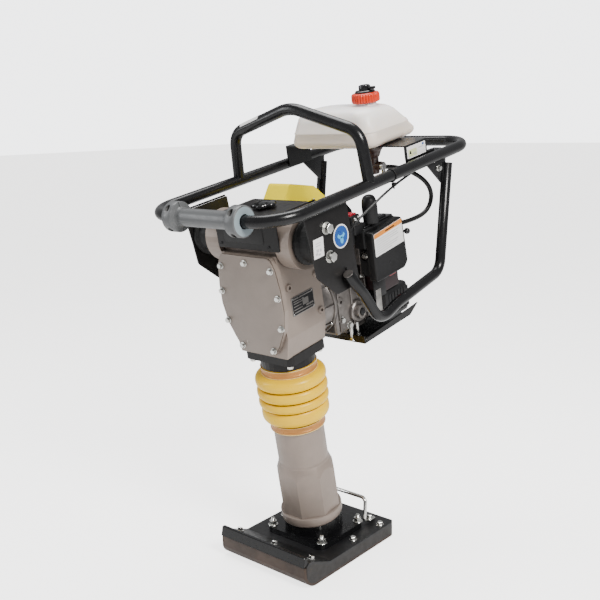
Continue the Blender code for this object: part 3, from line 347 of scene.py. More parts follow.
def lathe(name, material, profile, place=LEG, steps=96, hollow=False, sharp=35.0):
    """Turns (radius, height) points about Z. A hollow profile is a closed loop."""
    shape = bmesh.new()
    rings = [[(x, y, height) for x, y in circle(radius, steps)] for radius, height in profile]
    add_faces(shape, rings, hollow)
    return finish_mesh(name, shape, [material], place, sharp)


def sweep(name, material, path, radius, closed=False, place=LEG, sides=32, soft_end=0.0):
    """A round tube along a path, with its ends closed and slightly rounded."""
    points = [Vector(point) for point in path]
    count = len(points)
    headings = []
    for i in range(count):
        before = points[i - 1] if i or closed else points[0]
        after = points[(i + 1) % count] if i < count - 1 or closed else points[-1]
        headings.append((after - before).normalized())
    across = headings[0].orthogonal().normalized()
    rings = []

    def ring(centre, heading, size):
        side = heading.cross(across)
        return [centre + (across * math.cos(angle) + side * math.sin(angle)) * size
            for angle in (2 * math.pi * k / sides for k in range(sides))]

    for i, (point, heading) in enumerate(zip(points, headings)):
        across = (across - heading * across.dot(heading)).normalized()
        if soft_end and not closed and i == 0:
            rings.append(ring(point, heading, radius - soft_end))
            point = point + heading * soft_end
        if soft_end and not closed and i == count - 1:
            rings.append(ring(point - heading * soft_end, heading, radius))
            rings.append(ring(point, heading, radius - soft_end))
            continue
        rings.append(ring(point, heading, radius))
    shape = bmesh.new()
    if closed:
        # the frame may have turned on its way round, so the last rings are matched by nearest point
        first = rings[0]
        shift = min(range(sides), key=lambda k: (rings[-1][k] - first[0]).length)
        rows = [[shape.verts.new(p) for p in row] for row in rings]
        for a, b in zip(rows, rows[1:]):
            for k in range(sides):
                shape.faces.new((a[k], a[(k + 1) % sides], b[(k + 1) % sides], b[k]))
        for k in range(sides):
            one, two = (rows[-1][(k + shift) % sides], rows[-1][(k + 1 + shift) % sides])
            shape.faces.new((one, two, rows[0][(k + 1) % sides], rows[0][k]))
    else:
        add_faces(shape, rings, False)
    return finish_mesh(name, shape, [material], place, 50.0)


def filleted(corners, radius, steps=10, closed=False):
    """The corners with each bend replaced by an arc."""
    corners = [Vector(corner) for corner in corners]
    count = len(corners)
    path = []
    for i, corner in enumerate(corners):
        bend = radius[i] if isinstance(radius, (list, tuple)) else radius
        if not bend or (not closed and i in (0, count - 1)):
            path.append(corner)
            continue
        back = (corners[i - 1] - corner).normalized()
        ahead = (corners[(i + 1) % count] - corner).normalized()
        half = back.angle(ahead) / 2
        centre = corner + (back + ahead).normalized() * bend / math.sin(half)
        start = corner + back * bend / math.tan(half) - centre
        sweep_angle = math.pi - 2 * half
        axis = back.cross(ahead).normalized()
        for step in range(steps + 1):
            path.append(centre + Matrix.Rotation(-sweep_angle * step / steps, 3, axis) @ start)
    return path


def rounded(corners, radius, steps=6):
    """A flat closed outline with rounded corners."""
    points = filleted([(a, b, 0.0) for a, b in corners], radius, steps, closed=True)
    return [(point.x, point.y) for point in points]


def box_outline(low, high, radius, steps=6):
    corners = [(low[0], low[1]), (high[0], low[1]), (high[0], high[1]), (low[0], high[1])]
    return rounded(corners, radius, steps)


AXES = {
    "x": lambda a, b, depth: (depth, a, b),
    "v": lambda a, b, depth: (a, depth, b),
    "u": lambda a, b, depth: (a, b, depth),
}


def plate(name, material, outline, low, high, axis, rounding=0.0, segments=3, place=LEG, sharp=30.0):
    """An outline given thickness along one axis of the leaning frame, with its rims rounded."""
    put = AXES[axis]
    shape = bmesh.new()
    add_faces(shape, [[put(a, b, low) for a, b in outline], [put(a, b, high) for a, b in outline]], False)
    if rounding:
        bmesh.ops.recalc_face_normals(shape, faces=shape.faces)
        rims = [edge for edge in shape.edges if edge.calc_face_angle(0) > math.radians(60)]
        bmesh.ops.bevel(shape, geom=rims, offset=rounding, segments=segments, profile=0.5, affect="EDGES",
            clamp_overlap=True)
    return finish_mesh(name, shape, [material], place, sharp)


def joined(name, parts, body, *nodes):
    """Joins objects into one piece that rides on a body, keeping their materials and sharp edges."""
    graph = bpy.context.evaluated_depsgraph_get()
    materials = []
    shape = bmesh.new()
    for part in parts:
        mesh = bpy.data.meshes.new_from_object(part.evaluated_get(graph))
        mesh.transform(part.matrix_world)
        index = []
        for material in mesh.materials:
            if material not in materials:
                materials.append(material)
            index.append(materials.index(material))
        start = len(shape.faces)
        shape.from_mesh(mesh)
        shape.faces.ensure_lookup_table()
        for face in shape.faces[start:]:
            face.material_index = index[face.material_index] if index else 0
        bpy.data.meshes.remove(mesh)
        bpy.data.objects.remove(part, do_unlink=True)
    mesh = bpy.data.meshes.new(name)
    shape.to_mesh(mesh)
    shape.free()
    for material in materials:
        mesh.materials.append(material)
    return ride(placed(name, mesh), body, *nodes)


def ride(obj, body, *nodes):
    """The piece moves with a body, and may stand for CAD nodes."""
    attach(obj, body)
    if nodes:
        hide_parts(*nodes)
    return obj


def cut(target, *cutters):
    """Takes the cutters out of the target and removes them."""
    for cutter in cutters:
        modifier = target.modifiers.new("cut", "BOOLEAN")
        modifier.object = cutter
        modifier.solver = "EXACT"
        modifier.operation = "DIFFERENCE"
    return settled(target, cutters)


def settled(target, helpers=()):
    """Applies the modifiers and drops the helper objects."""
    bpy.context.view_layer.update()
    graph = bpy.context.evaluated_depsgraph_get()
    mesh = bpy.data.meshes.new_from_object(target.evaluated_get(graph))
    mesh.name = target.name
    target.modifiers.clear()
    target.data = mesh
    mesh.shade_smooth()
    mesh.set_sharp_from_angle(angle=math.radians(30))
    for helper in helpers:
        bpy.data.objects.remove(helper, do_unlink=True)
    return target


def facing(at, normal, place=LEG):
    """A matrix that puts local Z along a normal at a point."""
    turn = Vector(normal).to_track_quat("Z", "Y").to_matrix().to_4x4()
    return place @ Matrix.Translation(at) @ turn


# ---------------------------------------------------------------- fasteners


def bolt(at, normal, across=0.013, height=0.0065, washer=0.0, place=LEG, turn=0.2, stud=0.0):
    """A chamfered hexagon on a washer, with an optional threaded stud end."""
    put = facing(at, normal, place)
    parts = []
    base = 0.0
    if washer:
        thick = 0.0018
        parts.append(lathe("washer", ZINC, [(0.001, 0.0), (washer, 0.0), (washer, thick * 0.7),
            (washer - 0.0004, thick), (0.001, thick)], put, 36))
        base = thick
    outline = circle(across / math.sqrt(3), 6, turn)
    shape = bmesh.new()
    levels = [(0.0, 1.0), (height - 0.0009, 1.0), (height, 0.88)]
    rings = [[(x * size, y * size, base + level) for x, y in outline] for level, size in levels]
    add_faces(shape, rings, False)
    parts.append(finish_mesh("head", shape, [ZINC], put, 25.0))
    if stud:
        radius = across * 0.29
        profile = [(AXIS, base + height - 0.001)]
        ridges = 6
        for k in range(ridges):
            low = base + height - 0.001 + stud * k / ridges
            profile += [(radius, low), (radius * 0.9, low + stud * 0.5 / ridges)]
        profile += [(radius * 0.86, base + height + stud - 0.0006), (AXIS, base + height + stud)]
        parts.append(lathe("stud", ZINC, profile, put, 20))
    return parts


def socket_screw(at, normal, radius, height, material=ZINC):
    """A round head with a sunk socket."""
    inner = radius * 0.48
    profile = [(0.0001, 0.0), (radius, 0.0), (radius, height - 0.0006), (radius - 0.0006, height),
        (inner, height), (inner * 0.96, height * 0.45), (0.0001, height * 0.45)]
    return [lathe("screw", material, profile, facing(at, normal), 28)]


def bead(path, radius, body_parts):
    """A weld: a thin tube along the path, added to a list of parts."""
    points = [Vector(point) for point in path]
    dense = []
    for here, there in zip(points, points[1:]):
        pieces = max(2, int((there - here).length / 0.0016))
        dense += [here.lerp(there, k / pieces) for k in range(pieces)]
    dense.append(points[-1])
    body_parts.append(sweep("weld", POWDER, dense, radius, sides=12))


# ---------------------------------------------------------------- the foot


def make_foot():
    repaint(SHOE, "shoe_body")
    repaint(SOLE, "shoe_sole")
    repaint(POWDER, "toe_bar", "leg_base")
    repaint(STEEL, "rod_guide", "lower_spring", "upper_spring", "ram_piston", "connecting_rod", "crank_gear",
        "crank_bearing", "clutch_drum", "engine_shaft")

    parts = []
    shoe_top = 0.036
    slope = (0.0, 0.3775, 0.926)
    for x in (-0.113, 0.0, 0.113):
        parts += bolt((x, -0.146, 0.0551), slope, 0.0125, 0.0065, 0.0095, place=FLAT, turn=0.3 + x * 9)
    for x, y in ((0.111, 0.016), (0.116, 0.121)):
        for side in (-1, 1):
            parts += bolt((side * x, y, shoe_top), UP, 0.0125, 0.0065, 0.0095, place=FLAT, turn=0.5 + y * 20)
    flange_top = 0.05
    for x in (-0.078, 0.078):
        for y in (0.008 - 0.071, 0.008 + 0.071):
            parts += bolt((x, y, flange_top), UP, 0.017, 0.0095, 0.0125, place=FLAT, turn=x * 30 + y * 11,
                stud=0.008)
    joined("foot_fasteners", parts, "foot")

    # carrying handle: bright rod with flattened feet under clips
    low = 0.041
    path = filleted([(-0.088, 0.135, low), (-0.084, 0.1, low + 0.003), (-0.078, 0.112, 0.1), (0.078, 0.112,
        0.1), (0.084, 0.1, low + 0.003), (0.088, 0.135, low)], [0, 0.0065, 0.014, 0.014, 0.0065, 0], 10)
    rod = sweep("rod", CHROME, path, 0.0046, place=FLAT, sides=24, soft_end=0.0008)
    clips = []
    for side in (-1, 1):
        clips.append(plate("clip", ZINC, box_outline((side * 0.086 - 0.011, 0.104), (side * 0.086 + 0.011,
            0.13), 0.004), 0.0452, 0.0477, "u", 0.0008, place=FLAT))
        clips += bolt((side * 0.086, 0.117, 0.0477), UP, 0.011, 0.0055, 0.0075, place=FLAT, turn=side)
    joined("carrying_handle", [rod, *clips], "foot", "foot_handle")

    # spring cylinder: round body, octagon with a nut's chamfer, and the rim it stands on
    radius = 0.06
    body = lathe("body", LEG_CAST, [(0.046, 0.4546), (0.052, 0.4546), (0.0525, 0.454), (0.0525, 0.3612),
        (0.0592, 0.3585), (radius, 0.3575), (radius, 0.248), (0.0604, 0.245), (0.0616, 0.243), (0.0622, 0.24),
        (0.0622, 0.113), (0.0725, 0.1122), (0.0742, 0.1114), (0.075, 0.1098), (0.075, 0.0925),
        (0.0742, 0.0908), (0.0725, 0.0895), (0.071, 0.0873), (0.046, 0.0873)], steps=128, hollow=True)
    corner = OCTAGON / math.cos(math.pi / 8)
    shape = bmesh.new()
    outline = circle(corner, 8, math.pi / 8)
    add_faces(shape, [[(x, y, h) for x, y in outline] for h in (0.107, 0.247)], False)
    octagon = finish_mesh("octagon", shape, [LEG_CAST], LEG, 20)
    chamfer = lathe("chamfer", LEG_CAST, [(0.05, 0.2452), (radius, 0.2452), (corner + 0.002, 0.2055),
        (corner + 0.002, 0.117), (0.07, 0.1075), (0.05, 0.1075)], steps=128, hollow=True)
    trim = octagon.modifiers.new("chamfer", "BOOLEAN")
    trim.object = chamfer
    trim.solver = "EXACT"
    trim.operation = "INTERSECT"
    settled(octagon, [chamfer])
    soften = octagon.modifiers.new("soften", "BEVEL")
    soften.width = 0.001
    soften.segments = 2
    soften.limit_method = "ANGLE"
    soften.angle_limit = math.radians(20)
    settled(octagon)
    octagon.data.set_sharp_from_angle(angle=math.radians(22))
    normal = Vector((math.sin(OCTAGON_MARK), -math.cos(OCTAGON_MARK), 0))
    mark = lathe("mark", PLASTIC, solid((0.0035, 0.0004), (0.004, 0.0)),
        facing(normal * OCTAGON + Vector((0, 0, 0.176)), normal), 24)
    joined("leg_cylinder", [body, octagon, mark], "foot", "spring_cylinder")


def make_boot():
    """The bellows is one bulging ring wall between the foot and the machine."""
    cuff = 0.0631
    upper_cuff = 0.0636
    profile = [(upper_cuff - 0.001, 0.497), (upper_cuff, 0.496), (upper_cuff, 0.479)]
    grooves = [0.478, 0.447, 0.419, 0.395, 0.358]
    crests = [0.0838, 0.0838, 0.0832, 0.0802]
    creases = [upper_cuff + 0.001, 0.0706, 0.0704, 0.0702, cuff + 0.001]
    steps = 16
    for i, crest in enumerate(crests):
        top, bottom = (grooves[i], grooves[i + 1])
        half, middle = ((top - bottom) / 2, (top + bottom) / 2)
        for step in range(1, steps):
            angle = math.pi * (0.5 - step / steps)
            inner = creases[i] if angle > 0 else creases[i + 1]
            bulge = abs(math.cos(angle)) ** 0.74
            reach = math.copysign(abs(math.sin(angle)) ** 0.9, angle)
            profile.append((inner + (crest - inner) * bulge, middle + half * reach * 0.985))
        if i < 3:
            profile.append((creases[i + 1], bottom))
    profile += [(cuff, 0.357), (cuff, 0.335), (cuff - 0.001, 0.334), (0.0603, 0.334), (0.0603, 0.359)]
    profile += [(0.0665, 0.369), (0.0665, 0.469), (0.0608, 0.477), (0.0608, 0.497)]
    boot = lathe("rubber_bellows", BOOT, profile, steps=128, hollow=True, sharp=60)
    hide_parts("bellows")
    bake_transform(boot)

    for name, middle, inside, body in (
        ("lower_boot_clamp", 0.3445, 0.0634, "foot"),
        ("upper_boot_clamp", 0.4875, 0.0639, "machine"),
    ):
        half = 0.0085
        outside = inside + 0.0022
        band = lathe("band", BAND, [(inside, middle + half), (outside - 0.0008, middle + half),
            (outside, middle + half - 0.0007), (outside, middle + 0.003), (outside - 0.0005, middle + 0.0024),
            (outside - 0.0005, middle - 0.0024), (outside, middle - 0.003), (outside, middle - half + 0.0007),
            (outside - 0.0008, middle - half), (inside, middle - half)], steps=128, hollow=True)
        parts = [band]
        for edge in (-1, 1):
            level = middle + edge * (half - 0.0002)
            ring = [(x, v, level) for x, v in circle(outside, 128)]
            parts.append(sweep("edge", PALE_EDGE, ring, 0.0007, closed=True, sides=8))
        # the worm screw housing faces the rear
        parts.append(plate("housing", ZINC, box_outline((-0.011, middle - 0.0065), (0.011, middle + 0.0065),
            0.002), outside - 0.0012, outside + 0.0058, "v", 0.001))
        parts += bolt((0.011, outside + 0.003, middle), RIGHT, 0.007, 0.0045)
        joined(name.replace("boot", "bellows"), parts, body, name)


# ---------------------------------------------------------------- the gearbox


def make_gearbox():
    repaint(CAST, "crankcase")
    repaint(PLATE_BLACK, "guide_cylinder")
    repaint(RUBBER, "rubber_mount_left", "rubber_mount_right")

    parts = []
    for x in (-0.057, 0.057):
        for v in (-0.055, 0.049):
            parts += bolt((x, v, 0.5194), (0, 0, -1), 0.0125, 0.007, 0.009)
    joined("flange_bolts", parts, "machine")

    # front cover: a thin flange, a raised panel scalloped round each bolt, and the bolts
    half_widths = [(0.043, 0.5515), (0.063, 0.577), (0.0825, 0.6155), (0.092, 0.662), (0.091, 0.706),
        (0.0835, 0.754), (0.0725, 0.779)]

    def edge(inset):
        grown = [(x - inset, u - inset * (u - 0.668) / 0.11) for x, u in half_widths]
        return rounded([(-x, u) for x, u in reversed(grown)] + grown, 0.014, 6)

    base = plate("base", COVER_CAST, edge(0.0), -0.0834, -0.0868, "v", 0.0012)
    panel = plate("panel", COVER_CAST, edge(0.0045), -0.0862, -0.0918, "v", 0.0042, 5)
    places = [(0.0, 0.764)]
    for x, u in ((0.074, 0.752), (0.0835, 0.692), (0.08, 0.622), (0.047, 0.565)):
        places += [(x, u), (-x, u)]
    pockets = []
    for x, u in places:
        pocket = lathe("pocket", COVER_CAST, solid((0.0088, 0.0), (0.0106, 0.02)), facing((x, -0.0869, u),
            FRONT), 32)
        pockets.append(pocket)
    cut(panel, *pockets)
    parts = [base, panel]
    for i, (x, u) in enumerate(places):
        parts += bolt((x, -0.0868, u), FRONT, 0.0104, 0.0056, 0.0078, turn=0.4 * i)
    joined("gearbox_cover", parts, "machine", "front_cover")

    # black hood over the crown: a stepped front panel and a lid
    front = plate("front", PLATE_BLACK, box_outline((-0.0815, 0.7915), (0.099, 0.8655), 0.005), -0.076,
        -0.073, "v", 0.001)
    back = plate("back", PLATE_BLACK, box_outline((-0.081, 0.7925), (0.083, 0.8645), 0.004), -0.0736, -0.0608,
        "v")
    lid = plate("lid", PLATE_BLACK, box_outline((-0.0815, -0.075), (0.0835, 0.056), 0.006), 0.8624, 0.8656,
        "u", 0.001)
    step = plate("step", PLATE_BLACK, box_outline((-0.058, 0.806), (0.058, 0.846), 0.006), -0.0756, -0.0772,
        "v", 0.0007)
    parts = [front, back, lid, step]
    for x in (-0.07, 0.07):
        parts += socket_screw((x, -0.076, 0.801), FRONT, 0.0036, 0.0016, PLASTIC)
    joined("crown_hood", parts, "machine", "top_cover")

    # nameplate on the near side: dark enamel with plain bars
    x = 0.08
    parts = [plate("back", PLATE_METAL, box_outline((-0.045, 0.6335), (0.029, 0.6765), 0.002), x, x + 0.001,
        "x", 0.0003)]
    parts.append(plate("enamel", INK, box_outline((-0.0435, 0.635), (0.0275, 0.675), 0.0015), x + 0.0009,
        x + 0.0012, "x"))
    bars = [(-0.04, 0.67, 0.024, 0.6725), (-0.04, 0.6645, -0.004, 0.6665), (-0.04, 0.6595, -0.01, 0.6615),
        (-0.01, 0.6495, 0.01, 0.664), (0.0, 0.644, 0.025, 0.648), (-0.04, 0.653, -0.014, 0.655),
        (-0.04, 0.646, -0.012, 0.648), (-0.04, 0.639, 0.024, 0.6415)]
    for left, low, right, high in bars:
        parts.append(plate("bar", PLATE_METAL, box_outline((left, low), (right, high), 0.0004, 2), x + 0.0011,
            x + 0.00135, "x"))
    for v in (-0.0415, 0.0255):
        for u in (0.6368, 0.6732):
            parts += socket_screw((x + 0.0011, v, u), RIGHT, 0.0014, 0.0008)
    joined("nameplate", parts, "machine")

    # tapped bosses on both flanks of the casting
    parts = []
    for side in (-1, 1):
        for v, u in ((-0.047, 0.702), (0.046, 0.704), (0.047, 0.617)):
            put = facing((side * 0.0795, v, u), (side, 0, 0))
            parts.append(lathe("boss", CAST, solid((0.009, 0.0), (0.008, 0.004), (0.0072, 0.0048),
                (0.004, 0.0048), (0.0038, 0.0008)), put, 32))
    joined("case_ribs", parts, "machine")

    # star knob on the crown
    lobes = 5
    shape = bmesh.new()
    rings = []
    around = 120
    levels = [(0.5, 0.0003), (0.52, 0.003), (0.96, 0.0045), (1.0, 0.006), (1.0, 0.0105), (0.95, 0.0128),
        (0.8, 0.014), (0.42, 0.0143), (0.36, 0.0155), (0.05, 0.0158)]
    for size, level in levels:
        ring = []
        for k in range(around):
            angle = 2 * math.pi * k / around
            lobe = 1 - 0.17 * (0.5 - 0.5 * math.cos(lobes * angle)) ** 1.4 * (1 if size > 0.6 else 0)
            reach = 0.029 * size * lobe
            ring.append((KNOB_X + reach * math.cos(angle), KNOB_V + reach * math.sin(angle),
                HOOD_TOP + level * 0.85))
        rings.append(ring)
    add_faces(shape, rings, False)
    ride(finish_mesh("star_knob", shape, [GLOSS_BLACK], LEG, 40), "knob", "top_knob")


# ---------------------------------------------------------------- the engine


def make_engine():
    repaint(ALLOY, "engine_block", "cylinder_barrel", "carburettor")
    repaint(PLASTIC, "air_cleaner_case", "engine_shroud", "recoil_cover", "recoil_grip", "cap_vent",
        "throttle_lever")
    repaint(POWDER, "rocker_cover", "engine_tray", "throttle_bracket")
    repaint(FAN_RED, "fan_housing")
    repaint(STEEL, "muffler")
    repaint(YELLOW, "muffler_guard")

    # clutch bell with ribs and its flange bolts
    bell = lathe("bell", ALLOY, [(0.08, 0.104), (0.0832, 0.1034), (0.084, 0.102), (0.084, 0.096),
        (0.083, 0.0946), (0.079, 0.0935), (0.0776, 0.0905), (0.077, 0.076), (0.0756, 0.067), (0.0725, 0.0618),
        (0.068, 0.0605), (0.0135, 0.0605), (0.0135, 0.064), (0.069, 0.064), (0.07, 0.104)],
        seat(0, 0, ENGINE_HEIGHT, -math.pi / 2), 96, True)
    parts = [bell]
    for k in range(10):
        angle = 2 * math.pi * (k + 0.5) / 10
        turn = seat(0, 0, ENGINE_HEIGHT, angle, "Y")
        rib = plate("rib", ALLOY, rounded([(0.064, 0.074), (0.0935, 0.074), (0.0935, 0.0828), (0.07, 0.079)],
            0.0015, 3), -0.002, 0.002, "x", 0.0007, place=turn)
        parts.append(rib)
        if k % 2:
            spot = LEG.inverted() @ turn @ Vector((0.0, 0.0955, 0.0806))
            parts += bolt(spot, FRONT, 0.0075, 0.004)
    joined("clutch_bell", parts, "machine", "clutch_housing")

    # side of the engine: the oil plug's boss, drain bolts, cast pads and ribs
    parts = []
    boss = lathe("boss", ALLOY, solid((0.029, 0.0), (0.0275, 0.008), (0.0245, 0.0105)),
        facing((0.07, PLUG_V, PLUG_U), RIGHT), 64)
    parts.append(boss)
    for v, u, size in ((0.124, 0.56, 0.012), (0.15, 0.538, 0.012), (0.22, 0.64, 0.01), (0.128, 0.65, 0.01)):
        parts += bolt((0.0718, v, u), RIGHT, size, 0.006, size * 0.75)
    pads = ((0.125, 0.605, 0.013), (0.212, 0.6, 0.01), (0.16, 0.645, 0.011), (0.215, 0.545, 0.008))
    for v, u, size in pads:
        parts.append(lathe("pad", ALLOY, solid((size, 0.0), (size * 0.9, 0.004), (size * 0.7, 0.005),
            (size * 0.3, 0.005), (size * 0.28, 0.001)), facing((0.0716, v, u), RIGHT), 36))
    for v in (0.118, 0.168, 0.226):
        outline = rounded([(v - 0.003, 0.532), (v + 0.003, 0.532), (v + 0.002, 0.664), (v - 0.002, 0.664)],
            0.0015, 3)
        parts.append(plate("rib", ALLOY, outline, 0.0712, 0.0752, "x", 0.0012))
    joined("engine_side_detail", parts, "machine")

    plug = lathe("plug", ALLOY, solid((0.017, 0.0725), (0.017, 0.088), (0.0164, 0.0896), (0.015, 0.09),
        (0.0118, 0.09), (0.0108, 0.089)), seat(0, PLUG_V, PLUG_U, math.pi / 2, "Y"), 64)
    centre = lathe("centre", PLASTIC, solid((0.009, 0.0), (0.0088, 0.0028), (0.006, 0.0034)),
        facing((0.089, PLUG_V, PLUG_U), RIGHT), 40)
    joined("oil_plug", [plug, centre], "machine", "oil_filler_plug")

    parts = []
    for v in (0.153, 0.176):
        stud = lathe("stud", ZINC, solid((0.0042, 0.497), (0.0042, 0.535), (0.0036, 0.537)), seat(0.074, v,
            0), 24)
        parts.append(stud)
        parts += bolt((0.074, v, 0.4987), UP, 0.011, 0.006, 0.008)
    cowl = box_outline((0.196, 0.59), (0.243, 0.64), 0.004, 4)
    parts.append(plate("cowl", PLASTIC, cowl, 0.1195, 0.1222, "x", 0.0012))
    badge = rounded([(0.264, 0.626), (0.29, 0.626), (0.292, 0.648), (0.266, 0.648)], 0.002, 3)
    parts.append(plate("badge", RED, badge, 0.1196, 0.1218, "x", 0.001))
    strap = plate("strap", GALVANISED, rounded([(0.1985, 0.548), (0.22, 0.548), (0.222, 0.612),
        (0.202, 0.612)], 0.002, 3), 0.1205, 0.1225, "x", 0.0006)
    parts.append(strap)
    joined("engine_brackets", parts, "machine")

    make_air_cleaner()

    # louvres and vents of the shroud
    parts = []
    for k in range(7):
        v = 0.252 + 0.0125 * k
        outline = box_outline((v, 0.53), (v + 0.006, 0.582), 0.002, 3)
        parts.append(plate("louvre", PLASTIC, outline, 0.1195, 0.1218, "x", 0.0008))
    for k in range(5):
        x = -0.08 + 0.04 * k
        parts.append(plate("vent", PLASTIC, box_outline((x - 0.012, 0.527), (x + 0.012, 0.533), 0.002, 3),
            0.3375, 0.3395, "v", 0.0006))
    joined("shroud_louvres", parts, "machine")

    parts = []
    for k in range(24):
        angle = 2 * math.pi * k / 24
        turn = seat(0, 0, ENGINE_HEIGHT, angle, "Y")
        outline = rounded([(0.354, 0.034), (0.36, 0.036), (0.3545, 0.058), (0.348, 0.06)], 0.001, 2)
        parts.append(plate("fin", PLASTIC, outline, -0.0016, 0.0016, "x", 0.0005, 2, turn))
    for k in range(3):
        angle = 2 * math.pi * (k + 0.25) / 3
        spot = (0.074 * math.cos(angle), 0.3005, ENGINE_HEIGHT + 0.074 * math.sin(angle))
        parts += bolt(spot, REAR, 0.008, 0.005, 0.0065)
    joined("starter_detail", parts, "machine")

    # the starter rope runs from inside the cover to the grip
    rope = sweep("starter_rope", PAPER, [(-0.046, 0.345 + 0.003 * k, 0.652) for k in range(14)], 0.0022,
        sides=16)
    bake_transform(rope)

    # small fittings by the throttle: stop switch and cable clamp
    parts = [plate("bracket", PLASTIC, rounded([(0.112, 0.74), (0.178, 0.752), (0.182, 0.812), (0.16, 0.838),
        (0.118, 0.824)], 0.006, 4), 0.092, 0.0975, "x", 0.0015), plate("switch", PLASTIC,
        box_outline((0.128, 0.79), (0.16, 0.812), 0.003), 0.104, 0.134, "x", 0.002), plate("rocker", RED,
        box_outline((0.131, 0.8115), (0.141, 0.817), 0.001), 0.108, 0.13, "x", 0.001), plate("button", RED,
        box_outline((0.145, 0.8115), (0.154, 0.8155), 0.001), 0.108, 0.13, "x", 0.001), plate("stem", PLASTIC,
        box_outline((0.138, 0.742), (0.15, 0.794), 0.002), 0.108, 0.12, "x", 0.001), plate("elbow", PLASTIC,
        box_outline((0.15, 0.76), (0.196, 0.782), 0.006), 0.096, 0.122, "x", 0.004)]
    for v in (0.134, 0.148):
        parts.append(lathe("terminal", ZINC, solid((0.0038, 0.0), (0.0036, 0.012), (0.0018, 0.014)),
            facing((0.134, v, 0.8), (0.7, -0.2, 0.5)), 20))
    joined("stop_switch", parts, "machine")

    # spark plug boot and lead over the rocker cover
    lead = filleted([(0.0, 0.1, 0.74), (0.0, 0.085, 0.775), (0.06, 0.09, 0.8), (0.1, 0.104, 0.796)],
        [0, 0.02, 0.02, 0], 8)
    parts = [sweep("lead", RUBBER, lead, 0.0035, sides=16)]
    parts.append(lathe("boot", RUBBER, [(AXIS, 0.0), (0.0095, 0.0), (0.009, 0.022), (0.006, 0.03),
        (AXIS, 0.031)], facing((0.0, 0.1185, 0.735), (0, -1, 0.25)), 32))
    for k in range(4):
        x = -0.034 + 0.0227 * k
        parts.append(plate("rib", POWDER, box_outline((x - 0.002, 0.136), (x + 0.002, 0.21), 0.0018, 3),
            0.8205, 0.8245, "u", 0.0008))
    for x in (-0.04, 0.04):
        for v in (0.134, 0.212):
            parts += bolt((x, v, 0.8205), UP, 0.008, 0.0045)
    joined("engine_top_detail", parts, "machine")

    # muffler seam and guard screws
    parts = []
    seam = box_outline((0.122, 0.69), (0.232, 0.8), 0.018, 6)
    parts.append(sweep("seam", STEEL, [(-0.099, a, b) for a, b in seam], 0.0022, closed=True, sides=8))
    parts += bolt((-0.134, 0.177, 0.745), (-1, 0, 0), 0.009, 0.005, 0.0075)
    pipe = filleted([(-0.11, 0.215, 0.7), (-0.125, 0.24, 0.69), (-0.128, 0.262, 0.684)], [0, 0.012, 0], 6)
    parts.append(sweep("tail", STEEL, pipe, 0.0085, sides=24))
    joined("muffler_detail", parts, "machine")

    lever = []
    lever.append(lathe("hub", STEEL, solid((0.0072, -0.007), (0.0075, -0.006), (0.0075, 0.0038),
        (0.0068, 0.0044)), facing((0.112, 0.308, 0.7), REAR), 36))
    blade = rounded([(0.1088, 0.697), (0.1152, 0.697), (0.1158, 0.725), (0.15, 0.725), (0.15, 0.73),
        (0.1105, 0.73)], 0.0015, 3)
    lever.append(plate("blade", STEEL, blade, 0.3066, 0.3094, "v", 0.0006))
    lever.append(lathe("ball", GLOSS_BLACK, [(AXIS, -0.0068), (0.004, -0.0064), (0.0066, -0.0042),
        (0.0075, 0.0), (0.0066, 0.0042), (0.004, 0.0064), (AXIS, 0.0068)], facing((0.152, 0.3102, 0.7275),
        RIGHT), 36, sharp=60))
    joined("choke_control", lever, "choke", "choke_lever")


